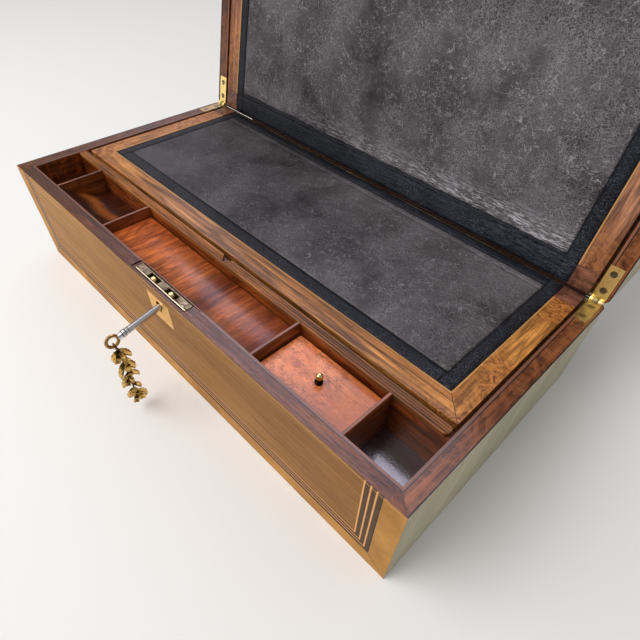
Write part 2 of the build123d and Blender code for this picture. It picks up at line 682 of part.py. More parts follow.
end_divider = room_x - END_WELL - DIVIDER / 2
pen_divider = end_divider - DIVIDER - SECOND_WELL
divider_xs = [-end_divider, -pen_divider, pen_divider, end_divider]
for number, middle in enumerate(divider_xs, start=1):
    divider = upright(
        middle - DIVIDER / 2, middle + DIVIDER / 2, well_front_y, well_back_y, WELL_FLOOR_Z, -DIVIDER_SINK
    )
    save(f"divider_{number}", divider)

shallow_x0 = divider_xs[0] + DIVIDER / 2
shallow_x1 = divider_xs[1] - DIVIDER / 2
scoop_y = well_front_y + 0.4 * WELL_DEPTH
scoop_front = (well_front_y, rim_z(well_front_y) - SCOOP_FRONT)
scoop_back = (well_back_y, rim_z(well_back_y) - SCOOP_BACK)
scoop_edges = [
    ThreePointArc(scoop_front, (scoop_y, rim_z(scoop_y) - SCOOP_MIDDLE), scoop_back),
    Polyline(
        scoop_back,
        (well_back_y, rim_z(well_back_y) - SCOOP_LOW),
        (well_front_y, rim_z(well_front_y) - SCOOP_LOW),
        scoop_front,
    ),
]
scoop_section = Plane(origin=(shallow_x0, 0, 0), x_dir=(0, 1, 0), z_dir=(1, 0, 0))
save("shallow_well_floor", extrude(scoop_section * make_face(scoop_edges), shallow_x1 - shallow_x0))

pen_x0 = divider_xs[1] + DIVIDER / 2
pen_x1 = divider_xs[2] - DIVIDER / 2
cover_x0 = divider_xs[2] + DIVIDER / 2
cover_x1 = divider_xs[3] - DIVIDER / 2
ledge_high = -BOARD_DROP - BOARD - SEAT_GAP
ledge_low = ledge_high - LEDGE_HIGH
board_ledges = []
for x0, x1 in (
    (pen_x0, pen_x0 + LEDGE_REACH),
    (pen_x1 - LEDGE_REACH, pen_x1),
    (cover_x0, cover_x0 + COVER_LEFT_GAP + LEDGE_REACH),
    (cover_x1 - LEDGE_REACH, cover_x1),
):
    board_ledges.append(band(x0, x1, well_front_y, well_back_y, ledge_low, ledge_high))
save("board_ledges", *board_ledges)

board_y0 = well_front_y + BOARD_FRONT_GAP
board_y1 = well_back_y - BOARD_BACK_GAP
board_low = -BOARD_DROP - BOARD
pen_board = band(
    pen_x0 + BOARD_END_GAP, pen_x1 - BOARD_END_GAP, board_y0, board_y1, board_low, -BOARD_DROP
)
save("pen_board", pen_board)

cover_board = band(
    cover_x0 + COVER_LEFT_GAP, cover_x1 - BOARD_END_GAP, board_y0, board_y1, board_low, -BOARD_DROP
)
knob_x = (cover_x0 + COVER_LEFT_GAP + cover_x1 - BOARD_END_GAP) / 2
knob_y = (board_y0 + board_y1) / 2
ball_z = KNOB_HEIGHT - KNOB_BALL
ball_side = math.sqrt(KNOB_BALL**2 - KNOB_NECK**2)
knob_line = [
    Polyline(
        (0, -BOARD), (KNOB_PEG, -BOARD), (KNOB_PEG, 0), (KNOB_FLANGE, 0),
        (KNOB_FLANGE, KNOB_FLANGE_HIGH), (KNOB_NECK, KNOB_FLANGE_HIGH + 0.6),
        (KNOB_NECK, ball_z - ball_side),
    ),
    ThreePointArc((KNOB_NECK, ball_z - ball_side), (KNOB_BALL, ball_z), (0, KNOB_HEIGHT)),
    Line((0, KNOB_HEIGHT), (0, -BOARD)),
]
knob_section = Plane.XZ * make_face(knob_line)
knob = Pos(knob_x, knob_y, rim_z(knob_y) - BOARD_DROP) * tilt * revolve(knob_section, Axis.Z)
save("cover_knob", knob)
save("cover_board", cover_board - knob)


# ---- writing flaps ------------------------------------------------------------------------------
def flap_parts(front, side, surface, border_back):
    """Frame, panel, border and leather of a flap. side is -1 below the rim plane and 1 above it."""
    top, leather_low, bottom = surface, surface + side * LEATHER, surface + side * FLAP_THICK
    inner_x = flap_x - FRAME_SIDE
    inner_y = front + FRAME_FRONT

    def piece(x0, x1, y0, y1, a, b):
        return band(x0, x1, y0, y1, min(a, b), max(a, b))

    def mitred(plan):
        slab = piece(-flap_x, flap_x, front, flap_back_y, top, bottom)
        return slab & plan_prism(plan, 0, 2 * HEIGHT)

    front_rail = mitred([(-flap_x, front), (flap_x, front), (inner_x, inner_y), (-inner_x, inner_y)])
    stile = mitred([(flap_x, front), (flap_x, flap_back_y), (inner_x, flap_back_y), (inner_x, inner_y)])
    frame = [front_rail, stile, mirrored(stile)]
    panel = piece(-inner_x, inner_x, inner_y, flap_back_y, leather_low, bottom)
    sheet = piece(-inner_x, inner_x, inner_y, flap_back_y, top, leather_low)
    leather_x = inner_x - BORDER_SIDE
    leather = piece(
        -leather_x, leather_x, inner_y + BORDER_FRONT, flap_back_y - border_back, top, leather_low
    )
    return frame, panel, sheet - leather, leather


def hinge_strip(side, surface):
    """Fixed strip at the hinge side, and the leather on it."""
    leather_low = surface + side * LEATHER
    foot = side * STRIP_THICK if side < 0 else side * STRIP_THICK + SHUT_GAP
    inner_x = flap_x - FRAME_SIDE
    strip = band(-flap_x, flap_x, strip_front_y, wall_back_y, min(surface, foot), max(surface, foot))
    leather = band(
        -inner_x, inner_x, strip_front_y, wall_back_y, min(surface, leather_low), max(surface, leather_low)
    )
    return strip - leather, leather


def flap_ledges(side, surface, front):
    """Cleats behind a shut flap: one along each side and one along the front."""
    seat = surface + side * (FLAP_THICK + SEAT_GAP)
    foot = seat + side * FLAP_LEDGE_HIGH
    low, high = min(seat, foot), max(seat, foot)
    ledge_x = room_x - FLAP_LEDGE_REACH
    along = band(ledge_x, room_x, front, wall_back_in, low, high)
    across = band(-ledge_x, ledge_x, front, front + FLAP_LEDGE_REACH, low, high)
    return [across, along, mirrored(along)]


base_frame, base_panel, base_border, base_leather = flap_parts(flap_front_y, -1, -FLAP_SINK, 0)
save("base_flap_frame", *base_frame)
save("base_flap_panel", base_panel)
save("base_flap_border", base_border)
save("base_flap_leather", base_leather)
base_strip, base_strip_leather = hinge_strip(-1, -FLAP_SINK)
save("base_hinge_strip", base_strip)
save("base_strip_leather", base_strip_leather)
save("base_flap_ledges", *flap_ledges(-1, -FLAP_SINK, paper_front_y))

lid_surface = SHUT_GAP + FLAP_SINK
lid_frame, lid_panel, lid_border, lid_leather = flap_parts(lid_flap_front_y, 1, lid_surface, LID_BORDER_BACK)
save("lid_flap_frame", *[opened(s) for s in lid_frame])
save("lid_flap_panel", opened(lid_panel))
save("lid_flap_border", opened(lid_border))
save("lid_flap_leather", opened(lid_leather))
lid_strip, lid_strip_leather = hinge_strip(1, lid_surface)
save("lid_hinge_strip", opened(lid_strip))
save("lid_strip_leather", opened(lid_strip_leather))
save("lid_flap_ledges", *[opened(s) for s in flap_ledges(1, lid_surface, well_front_y)])


# ---- lid carcass, drawn shut --------------------------------------------------------------------
top_z = HEIGHT - VENEER
board_z = top_z - TOP
link_y0 = lock_y - SELVAGE_WIDTH / 2
link_y1 = lock_y + SELVAGE_WIDTH / 2
link_x0 = LOCK_X - LINK_LEFT
link_x1 = LOCK_X + LINK_RIGHT
link_plate = band(link_x0, link_x1, link_y0, link_y1, SHUT_GAP, SHUT_GAP + LINK_THICK)
link_recess = link_plate


def link_screw(x, slotted=True):
    """One screw of the link plate, pointing up into the lid's front wall."""
    screw = countersunk_screw(LOCK_SCREW_HEAD, LOCK_SCREW_SHANK, LOCK_SCREW_LENGTH, slotted)
    return Pos(x, lock_y, rim_z(lock_y) + SHUT_GAP) * tilt * Rot(180, 0, 0) * Rot(0, 0, 70) * screw


link_screw_xs = [LOCK_X - LINK_SCREW_X, LOCK_X + LINK_SCREW_X]
link_screws = [link_screw(x) for x in link_screw_xs]
link_screw_cuts = [link_screw(x, slotted=False) for x in link_screw_xs]
for side in (-1, 1):
    middle = LOCK_X + side * HASP_X + STAPLE_SHIFT
    staple = band(
        middle - STAPLE_THICK / 2, middle + STAPLE_THICK / 2,
        lock_y - STAPLE_WIDTH / 2, lock_y + STAPLE_WIDTH / 2, -STAPLE_DROP, SHUT_GAP,
    )
    eye_low = -STAPLE_DROP + STAPLE_LEG
    staple -= band(
        middle - STAPLE_THICK, middle + STAPLE_THICK,
        lock_y - STAPLE_WIDTH / 2 + STAPLE_LEG, lock_y + STAPLE_WIDTH / 2 - STAPLE_LEG,
        eye_low, eye_low + STAPLE_EYE_HIGH,
    )
    link_plate += staple
for cut in link_screw_cuts:
    link_plate -= cut
save("lid_link_plate", opened(link_plate))
save("link_screws", *[opened(s) for s in link_screws])

lid_top = block(-wall_inner_x, wall_inner_x, wall_front_in, wall_back_in, board_z, top_z)
save("lid_top", opened(lid_top))

rim_top = SHUT_GAP + RIM
lid_front = hanging(-wall_inner_x, wall_inner_x, wall_front_y, wall_front_in, rim_top, top_z)
for cut in link_screw_cuts:
    lid_front -= cut
save("lid_front_wall", opened(lid_front))
strip_foot = SHUT_GAP + STRIP_THICK
lid_back = hanging(-wall_inner_x, wall_inner_x, wall_back_in, wall_back_y, strip_foot, top_z)
save("lid_back_wall", opened(lid_back))
lid_right = round_backed(hanging(wall_inner_x, wall_outer_x, wall_front_y, wall_back_y, rim_top, top_z))
for cut in lid_screw_cuts:
    lid_right -= cut
save("lid_right_wall", opened(lid_right))
save("lid_left_wall", opened(mirrored(lid_right)))

lid_slab = round_backed(band(-wall_outer_x, wall_outer_x, wall_front_y, wall_back_y, SHUT_GAP, rim_top))
lid_front_rim = (lid_slab & plan_prism(front_rim_plan, 0, HEIGHT)) - link_recess
for cut in link_screw_cuts:
    lid_front_rim -= cut
lid_right_rim = (lid_slab & plan_prism(side_rim_plan, 0, HEIGHT)) - lid_leaf_recess
for cut in lid_screw_cuts:
    lid_right_rim -= cut
save("lid_rims", opened(lid_front_rim), opened(lid_right_rim), opened(mirrored(lid_right_rim)))

lid_front_lining = hanging(-wall_inner_x, wall_inner_x, wall_front_in, well_front_y, SHUT_GAP, board_z)
lid_front_lining -= link_recess
lid_side_outline = [
    (well_front_y, rim_z(well_front_y) + SHUT_GAP),
    (wall_back_y, rim_z(wall_back_y) + SHUT_GAP),
    (wall_back_y, rim_z(wall_back_y) + strip_foot),
    (wall_back_in, rim_z(wall_back_in) + strip_foot),
    (wall_back_in, board_z),
    (well_front_y, board_z),
]
lid_right_lining = x_prism(lid_side_outline, room_x, wall_inner_x) - lid_leaf_recess
save(
    "lid_linings",
    opened(lid_front_lining), opened(lid_right_lining), opened(mirrored(lid_right_lining)),
)

lid_front_veneer = hanging(-half_w, half_w, front_y, wall_front_y, SHUT_GAP, top_z)
lid_back_veneer = round_backed(hanging(-half_w, half_w, wall_back_y, back_y, SHUT_GAP, top_z))
lid_back_veneer = lid_back_veneer - lid_leaf_recess - mirrored(lid_leaf_recess)
lid_right_veneer = round_backed(hanging(wall_outer_x, half_w, wall_front_y, wall_back_y, SHUT_GAP, top_z))
lid_top_veneer = round_backed(block(-half_w, half_w, front_y, back_y, top_z, HEIGHT))
lid_veneers = [
    lid_front_veneer, lid_back_veneer, lid_right_veneer, mirrored(lid_right_veneer), lid_top_veneer,
]
save("lid_veneers", *[opened(s) for s in lid_veneers])

print(f"slope {slope_angle:.3f} deg, pin at y={pin_y:.2f} z={pin_z:.2f}")
print(f"crease y={crease_y:.3f} z={rim_z(crease_y) - FLAP_SINK:.3f}")
lid_crease = opened(Pos(0, crease_y, rim_z(crease_y) + lid_surface) * Box(1, 1, 1)).center()
print(f"lid crease at rest y={lid_crease.Y:.3f} z={lid_crease.Z:.3f}")
print(f"key axis through y={key_tip_y:.3f} z={KEY_Z:.3f}, {KEY_DROOP} deg down to the front")
print(f"fob pivot x={fob_x:.3f} y={fob_y:.3f} z={fob_pivot_z:.3f}")
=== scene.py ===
import math
from functools import partial
import bmesh
import bpy
from mathutils import Euler, Matrix, Vector, noise


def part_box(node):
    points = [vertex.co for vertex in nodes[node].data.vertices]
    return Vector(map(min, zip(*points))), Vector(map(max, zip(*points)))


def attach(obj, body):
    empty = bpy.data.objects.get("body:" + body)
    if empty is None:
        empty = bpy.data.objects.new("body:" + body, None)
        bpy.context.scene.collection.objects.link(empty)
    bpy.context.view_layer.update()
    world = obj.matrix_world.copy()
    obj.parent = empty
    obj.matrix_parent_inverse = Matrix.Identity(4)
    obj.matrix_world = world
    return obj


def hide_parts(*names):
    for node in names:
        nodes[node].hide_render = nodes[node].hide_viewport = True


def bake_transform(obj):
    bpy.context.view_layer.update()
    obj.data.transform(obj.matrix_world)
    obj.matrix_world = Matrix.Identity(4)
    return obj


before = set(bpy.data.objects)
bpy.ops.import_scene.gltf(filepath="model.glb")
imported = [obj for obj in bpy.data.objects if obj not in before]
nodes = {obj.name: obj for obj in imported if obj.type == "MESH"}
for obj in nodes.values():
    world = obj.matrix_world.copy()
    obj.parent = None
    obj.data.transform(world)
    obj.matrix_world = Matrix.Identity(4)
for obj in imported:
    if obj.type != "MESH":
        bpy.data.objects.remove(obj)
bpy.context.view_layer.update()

# The room: a pale table and a soft grey-white sky, one wide lamp above the lock side, one low in the
# room for the sheen on the lid's leather, and a tall window behind on the left that only shows as glare.
# The camera stands above the front right corner, turned so that the box runs down to the right.
CAMERA_PLACE = Vector((0.2602, -0.2194, 0.36306))
CAMERA_RIGHT = Vector((0.68342, 0.72941, -0.02980))
CAMERA_DOWN = Vector((0.54311, -0.53530, -0.64691))
CAMERA_AHEAD = Vector((-0.48782, 0.42592, -0.76199))
TABLE_HALF = 4.0
scene = bpy.context.scene
scene.view_settings.view_transform = "Standard"


def lamp(name, place, aim, size, power, colour):
    data = bpy.data.lights.new(name, "AREA")
    data.shape, data.size, data.energy, data.color = "SQUARE", size, power, colour
    made = bpy.data.objects.new(name, data)
    scene.collection.objects.link(made)
    made.location = place
    made.rotation_euler = (Vector(aim) - Vector(place)).to_track_quat("-Z", "Y").to_euler()
    return made


def new_paint(name):
    """A material and its Principled shader."""
    paint = bpy.data.materials.new(name)
    paint.use_nodes = True
    return paint, paint.node_tree.nodes["Principled BSDF"]


def make_piece(name, bm, paint, smooth=False):
    """Sets a finished bmesh in the room as an object, one paint all over."""
    mesh = bpy.data.meshes.new(name)
    bm.to_mesh(mesh)
    bm.free()
    mesh.materials.append(paint)
    for polygon in mesh.polygons:
        polygon.use_smooth = smooth
    piece = bpy.data.objects.new(name, mesh)
    scene.collection.objects.link(piece)
    return piece


lamp("lamp_above", (-0.5, -0.9, 1.5), (0.0, 0.0, 0.1), 1.3, 23.0, (1.0, 0.97, 0.92))
lamp("lamp_low", (-1.05, -1.75, 0.45), (0.0, 0.14, 0.2), 0.9, 7.5, (1.0, 0.98, 0.96))
window = lamp("window_glare", (-0.62, 0.86, 1.42), (0.0, 0.0, 0.1), 1.45, 37.0, (0.86, 0.80, 1.0))
window.visible_diffuse = False

world = bpy.data.worlds.new("pale_room")
scene.world = world
world.use_nodes = True
sky = world.node_tree.nodes["Background"]
sky.inputs["Color"].default_value = (1.0, 0.98, 0.95, 1.0)
sky.inputs["Strength"].default_value = 0.40

table_paint, table_shader = new_paint("table_white")
table_shader.inputs["Base Color"].default_value = (0.90, 0.91, 0.93, 1.0)
table_shader.inputs["Roughness"].default_value = 0.8
bm = bmesh.new()
bmesh.ops.create_grid(bm, x_segments=1, y_segments=1, size=TABLE_HALF)
make_piece("table_top", bm, table_paint)

lens = bpy.data.cameras.new("camera")
lens.sensor_width = 36.0
lens.lens = 28.77
lens.shift_x = 0.0520
lens.shift_y = 0.0150
camera = bpy.data.objects.new("camera", lens)
scene.collection.objects.link(camera)
turn = Matrix((CAMERA_RIGHT, -CAMERA_DOWN, -CAMERA_AHEAD)).transposed().to_4x4()
camera.matrix_world = Matrix.Translation(CAMERA_PLACE) @ turn
scene.camera = camera

# Carcass: walls, bottom and top of pale secondary wood, glued up and hidden by veneer outside and lining
# inside. Both halves of the box share one set of coordinates: x along the box, -u down the slope from
# the hinge pins, n off the slope.
SLOPE = math.atan((0.106 - 0.0835) / 0.236)
LID_TURN = math.radians(96.3)
LID_RISE = 0.0003
PIN = Vector((0.0, 0.1181, 0.0835))
QUARTER = math.pi / 2


def srgb(red, green, blue):
    """A colour read off with a colour picker, 0 to 255, as the linear value a shader wants."""
    def linear(value):
        value /= 255
        return value / 12.92 if value <= 0.04045 else ((value + 0.055) / 1.055) ** 2.4
    return (linear(red), linear(green), linear(blue), 1.0)


def plug(value, socket):
    """Links an output to a socket, or sets the socket to a number, a vector or a colour."""
    if isinstance(value, bpy.types.NodeSocket):
        socket.id_data.links.new(value, socket)
    else:
        socket.default_value = value


def wire(kind, settings=None, tree=None, **sockets):
    """Adds a node where its links come from. A socket is i and its place, or its name with _ for a space."""
    if tree is None:
        tree = next(value.id_data for value in sockets.values() if isinstance(value, bpy.types.NodeSocket))
    node = tree.nodes.new(kind)
    for name, value in (settings or {}).items():
        setattr(node, name, value)
    for name, value in sockets.items():
        key = int(name[1:]) if name[0] == "i" and name[1:].isdigit() else name.replace("_", " ")
        plug(value, node.inputs[key])
    return node.outputs


def calc(operation, first, second=0.0, third=0.0):
    """What one Math node gives."""
    return wire("ShaderNodeMath", {"operation": operation}, i0=first, i1=second, i2=third)[0]


times, plus, minus, larger, smaller, is_near, is_above, is_below, unsigned = (
    partial(calc, operation) for operation in ("MULTIPLY", "ADD", "SUBTRACT", "MAXIMUM", "MINIMUM",
                                               "COMPARE", "GREATER_THAN", "LESS_THAN", "ABSOLUTE"))


def ramp(value, low, high, start=0.0, end=1.0):
    """A value followed from one end of a range to the other, and held past both."""
    return wire("ShaderNodeMapRange", Value=value, From_Min=low, From_Max=high, To_Min=start, To_Max=end)[0]


def clouds(place, scale, detail=2.0, rough=0.5, swirl=0.0):
    """Soft patches, about one over the scale across."""
    return wire("ShaderNodeTexNoise", Vector=place, Scale=scale, Detail=detail, Roughness=rough,
                Distortion=swirl)[0]


def stretched(place, ratios):
    """A position squeezed along an axis, so that what is drawn on it is long that way."""
    return wire("ShaderNodeVectorMath", {"operation": "MULTIPLY"}, i0=place, i1=ratios)[0]


def split(place):
    """The x, y and z of a position."""
    return wire("ShaderNodeSeparateXYZ", Vector=place)


def blend(share, low, high, way="MIX"):
    """Mix of two colours, each a colour or an output."""
    return wire("ShaderNodeMix", {"data_type": "RGBA", "blend_type": way}, i0=share, i6=low, i7=high)[2]


def shaded(colour, value):
    """A colour made darker or lighter by a value around 1."""
    grey = wire("ShaderNodeCombineColor", Red=value, Green=value, Blue=value)[0]
    return blend(1.0, colour, grey, "MULTIPLY")


def node_group(name, inputs, outputs):
    """An empty node group, what comes into it and what goes out. An input without a value is a position."""
    tree = bpy.data.node_groups.new(name, "ShaderNodeTree")
    for socket, value in inputs.items():
        kind = "NodeSocketVector" if value is None else "NodeSocketFloat"
        made = tree.interface.new_socket(socket, in_out="INPUT", socket_type=kind)
        if value is not None:
            made.default_value = value
    for socket in outputs:
        tree.interface.new_socket(socket, in_out="OUTPUT", socket_type="NodeSocketFloat")
    return tree, tree.nodes.new("NodeGroupInput").outputs, tree.nodes.new("NodeGroupOutput").inputs


def grain_group():
    """Wood: a broad figure, growth rings, streaks and fibres along X, and short pores, from one position."""
    tree, into, out = node_group("wood_grain", {
        "Vector": None, "Figure Scale": 20.0, "Figure Stretch": 0.2, "Swirl": 1.0, "Ring Count": 6.0,
        "Streak Scale": 260.0, "Fibre Scale": 900.0}, ("Figure", "Rings", "Streaks", "Fibres", "Pores"))
    place = into["Vector"]
    ratio = wire("ShaderNodeCombineXYZ", X=into["Figure Stretch"], Y=1.0, Z=1.0)[0]
    long_way = stretched(place, ratio)
    figure = clouds(long_way, into["Figure Scale"], 5.0, 0.6, into["Swirl"])
    smooth = clouds(long_way, into["Figure Scale"], 2.0, 0.45, into["Swirl"])
    rings = calc("PINGPONG", times(smooth, into["Ring Count"]), 0.5)
    streaks = clouds(stretched(place, (0.07, 1.0, 1.0)), into["Streak Scale"], 4.0, 0.6, 0.6)
    fibres = clouds(stretched(place, (0.035, 1.0, 1.0)), into["Fibre Scale"], 3.0, 0.65, 0.4)
    pores = clouds(stretched(place, (0.12, 1.0, 1.0)), 1500.0, 1.0)
    for name, value, low, high in (("Figure", figure, 0.3, 0.7), ("Rings", rings, 0.16, 0.0),
                                   ("Streaks", streaks, 0.36, 0.64), ("Fibres", fibres, 0.3, 0.7),
                                   ("Pores", pores, 0.62, 0.72)):
        plug(ramp(value, low, high), out[name])
    return tree


wood_grain = grain_group()


def along(tree, lid=False, way="X"):
    """Position as (x, -u, n) in metres on the half's own slope, and the same turned to the grain's way."""
    angle = SLOPE + (LID_TURN if lid else 0.0)
    turned = Euler((angle, 0.0, 0.0)).to_matrix() @ PIN
    place = wire("ShaderNodeTexCoord", tree=tree)["Object"]
    slope = wire("ShaderNodeMapping", Vector=place, Location=tuple(-turned), Rotation=(angle, 0.0, 0.0))[0]
    if lid:
        slope = wire("ShaderNodeMapping", Vector=slope, Location=(0.0, 0.0, LID_RISE),
                     Scale=(1.0, 1.0, -1.0))[0]
    if way == "X":
        return slope, slope
    spin = (0.0, 0.0, -QUARTER) if way == "Y" else (0.0, QUARTER, 0.0)
    return slope, wire("ShaderNodeMapping", Vector=slope, Rotation=spin)[0]


def past_mitre(slope, inner_x, inner_front, ratio):
    """How far a point lies past a frame's inner end and side, and past the mitre between them."""
    x, u, n = split(slope)
    past_x = minus(unsigned(x), inner_x)
    past_u = minus(times(u, -1.0), inner_front)
    return past_x, past_u, minus(times(past_x, ratio), past_u)


def turned_at_sides(slope, *frame_edge):
    """Grain along X on the front member of a mitred frame and along Y on its two side members."""
    past_x, past_u, apart = past_mitre(slope, *frame_edge)
    side = is_above(smaller(apart, past_x), 0.0)
    upright = wire("ShaderNodeMapping", Vector=slope, Rotation=(0.0, 0.0, -QUARTER))[0]
    return wire("ShaderNodeMix", {"data_type": "VECTOR"}, i0=side, i4=slope, i5=upright)[1]


def lay_on(shader, colour, roughness, height, bump, depth):
    """Feeds a finish its colour, its roughness and its relief."""
    relief = wire("ShaderNodeBump", Strength=bump, Distance=depth, Height=height)[0]
    for name, value in (("Base Color", colour), ("Roughness", roughness), ("Normal", relief)):
        plug(value, shader.inputs[name])


def polished_wood(name, dark, light, lid=False, way="X", scale=18.0, stretch=0.18, swirl=1.2, rings=6.0,
                  ring_share=0.35, streak=260.0, streak_share=0.45, fibre=900.0, fibre_share=0.35,
                  pore_share=0.35, roughness=0.36, specular=0.28, coat=0.18, bump=0.2, pebble=0.0,
                  mitred=None, overlay=None):
    """French-polished wood. overlay(slope, colour) may lay lines or patches over the grain's colour."""
    paint, shader = new_paint(name)
    slope, grain = along(paint.node_tree, lid, way)
    if mitred:
        grain = turned_at_sides(slope, *mitred)
    marks = wire("ShaderNodeGroup", {"node_tree": wood_grain}, Vector=grain, Figure_Scale=scale,
                 Figure_Stretch=stretch, Swirl=swirl, Ring_Count=rings, Streak_Scale=streak,
                 Fibre_Scale=fibre)
    deep = tuple(part * 0.3 for part in dark[:3]) + (1.0,)
    colour = blend(times(marks["Rings"], ring_share), blend(marks["Figure"], dark, light), deep)
    shade = ramp(marks["Streaks"], 0.0, 1.0, 1.0 - streak_share, 1.0 + streak_share * 0.5)
    fine = ramp(marks["Fibres"], 0.0, 1.0, 1.0 - fibre_share, 1.0 + fibre_share * 0.5)
    colour = shaded(colour, times(shade, fine))
    colour = blend(times(marks["Pores"], pore_share), colour, deep)
    if overlay:
        colour = overlay(slope, colour)
    height = plus(calc("MULTIPLY_ADD", marks["Pores"], -0.8, marks["Fibres"]), marks["Streaks"])
    if pebble:
        height = clouds(slope, pebble, 2.0, 0.6)
    gloss = ramp(marks["Fibres"], 0.0, 1.0, roughness * 1.2, roughness * 0.8)
    lay_on(shader, colour, gloss, height, bump, 0.0004)
    for socket, value in (("Specular IOR Level", specular), ("Coat Weight", coat), ("Coat Roughness", 0.12)):
        shader.inputs[socket].default_value = value
    return paint


def finish_with(paint, *names):
    """Gives CAD nodes their material."""
    for name in names:
        data = nodes[name].data
        data.materials.clear()
        data.materials.append(paint)


def ease(width, *names):
    """Rubs down the sharp arrises of CAD nodes, as a cabinet maker and long use do."""
    for name in names:
        weld = nodes[name].modifiers.new("joined_faces", "WELD")
        weld.merge_threshold = 0.00001
        bevel = nodes[name].modifiers.new("eased_arris", "BEVEL")
        bevel.width, bevel.segments = width, 2
        bevel.limit_method, bevel.angle_limit = "ANGLE", math.radians(40)
        bevel.use_clamp_overlap = True


for half in ("base", "lid"):
    parts = ("front_wall", "back_wall", "left_wall", "right_wall", "flap_ledges", "flap_panel",
             "bottom" if half == "base" else "top")
    carcass_wood = polished_wood(f"{half}_carcass_wood", srgb(104, 70, 44), srgb(150, 110, 74),
                                 lid=half == "lid", roughness=0.6, specular=0.2, coat=0.0)
    finish_with(carcass_wood, *(f"{half}_{part}" for part in parts))

# Front veneer: a field of fine wavy figure, browner to the right and painted lighter and more golden at
# the left as a painted sheen, inside three strings of light wood on a dark ground and a golden band,
# mitred at the lower corners.
STRINGS = (0.0193, 0.0235, 0.0279)
STRING_HALF = 0.00055
BAND_WIDTH = 0.01545
BOX_HALF = 0.2285
BOX_DEPTH_HALF = 0.1179
BOX_HIGH = 0.167
BOTTOM_EXTRA = 0.0018
JOINT_HALF = 0.0003


def level_place(slope, lid=False):
    """Object position as the shut box has it: x, y and z in metres."""
    place = wire("ShaderNodeTexCoord", tree=slope.id_data)["Object"]
    if not lid:
        return place
    turned = Euler((LID_TURN, 0.0, 0.0)).to_matrix() @ PIN
    return wire(
        "ShaderNodeMapping", Vector=place, Location=tuple(PIN - turned), Rotation=(LID_TURN, 0.0, 0.0))[0]


def inlay_group():
    """Masks of a strung and banded panel from the distances to its nearest end and side, in metres."""
    tree, into, out = node_group(
        "strung_border", {"From End": 0.0, "From Side": 0.0}, ("Strings", "Ground", "Band", "Joints"))
    distance = smaller(into["From End"], into["From Side"])
    band = is_below(distance, BAND_WIDTH)
    apart = minus(into["From End"], into["From Side"])
    mitre = times(is_near(apart, 0.0, JOINT_HALF * 1.4), band)
    plug(larger(mitre, is_near(distance, BAND_WIDTH, JOINT_HALF)), out["Joints"])
    first, second, third = (is_near(distance, middle, STRING_HALF) for middle in STRINGS)
    plug(plus(plus(first, second), third), out["Strings"])
    plug(is_below(distance, STRINGS[-1]), out["Ground"])
    plug(band, out["Band"])
    return tree


strung_border = inlay_group()


def inlay(colour, from_end, from_side, place):
    """Lays ground, strings, band and the dark joint lines over a field's colour."""
    masks = wire("ShaderNodeGroup", {"node_tree": strung_border}, From_End=from_end, From_Side=from_side)
    colour = blend(masks["Ground"], colour, srgb(80, 56, 36))
    colour = blend(masks["Strings"], colour, srgb(222, 160, 96))
    mottle = clouds(place, 30.0, 4.0, 0.6)
    golden = blend(ramp(mottle, 0.3, 0.7), srgb(146, 98, 38), srgb(196, 142, 68))
    colour = blend(masks["Band"], colour, golden)
    return blend(masks["Joints"], colour, srgb(26, 15, 8))


def dark_edge(slope, colour):
    """The veneers' own edges in the rim plane, stained dark like the rims, and along the hinge line a wider
    dark band that is painted shadow of the joint.
    """
    x, u, n = split(slope)
    # Painted shadow: near the hinge line the dark band is widened to stand for the shadow in the joint.
    by_hinge = is_below(unsigned(u), 0.0016)
    edge = is_above(calc("MULTIPLY_ADD", by_hinge, 0.0008, n), -0.0002)
    return blend(edge, colour, srgb(44, 25, 17))


def front_inlay(slope, colour):
    place = level_place(slope)
    x, y, z = split(place)
    wave = wire(
        "ShaderNodeTexWave", {"wave_type": "BANDS", "bands_direction": "Z"}, Vector=place, Scale=95.0,
        Distortion=5.0, Detail=3.0, Detail_Scale=0.35, Detail_Roughness=0.6)
    colour = shaded(colour, ramp(wave["Fac"], 0.0, 0.5, 0.86, 1.03))
    # Painted sheen: the left end is made lighter and paler, as the light falls there.
    golden = blend(1.0, colour, (1.3, 1.34, 1.4, 1.0), "MULTIPLY")
    colour = blend(ramp(x, 0.12, -0.2), colour, golden)
    from_end = minus(BOX_HALF, unsigned(x))
    from_side = minus(z, BOTTOM_EXTRA)
    colour = inlay(colour, from_end, from_side, place)
    # Top arris of the veneer made pale, partly as rubbed wear and partly as a painted highlight.
    worn_and_lit = is_near(split(slope)[2], -0.0004, 0.00035)
    return blend(times(worn_and_lit, 0.6), colour, srgb(226, 184, 128))


front_veneer = polished_wood(
    "front_veneer", srgb(126, 82, 34), srgb(160, 112, 54), scale=26.0, stretch=0.12, swirl=0.8, rings=4.0,
    ring_share=0.08, streak_share=0.12, fibre=700.0, fibre_share=0.24, pore_share=0.2, roughness=0.5,
    specular=0.1, coat=0.03, bump=0.06, overlay=front_inlay)
finish_with(front_veneer, "base_front_veneer")

# Side and back veneers: straight-grained wood laid upright on the walls, painted a grey olive that stands
# for the sheen of the polish seen at a slant (painted reflection), with stained edges where they run up to
# the rims. The lid's front and top are strung like the base's front.
# Painted reflection: this grey olive is the pale sheen of the polish on the sides, laid into the colour.
OLIVE_DARK = srgb(160, 150, 118)
OLIVE_LIGHT = srgb(196, 186, 152)
ON_FACE = 0.0004
side_veneer = polished_wood(
    "side_veneer", OLIVE_DARK, OLIVE_LIGHT, way="Z", scale=14.0, stretch=0.1, swirl=0.5, rings=5.0,
    ring_share=0.2, streak=90.0, streak_share=0.16, fibre=600.0, fibre_share=0.15, pore_share=0.15,
    roughness=0.4, specular=0.2, coat=0.12, bump=0.06, overlay=dark_edge)
finish_with(side_veneer, "base_veneers")


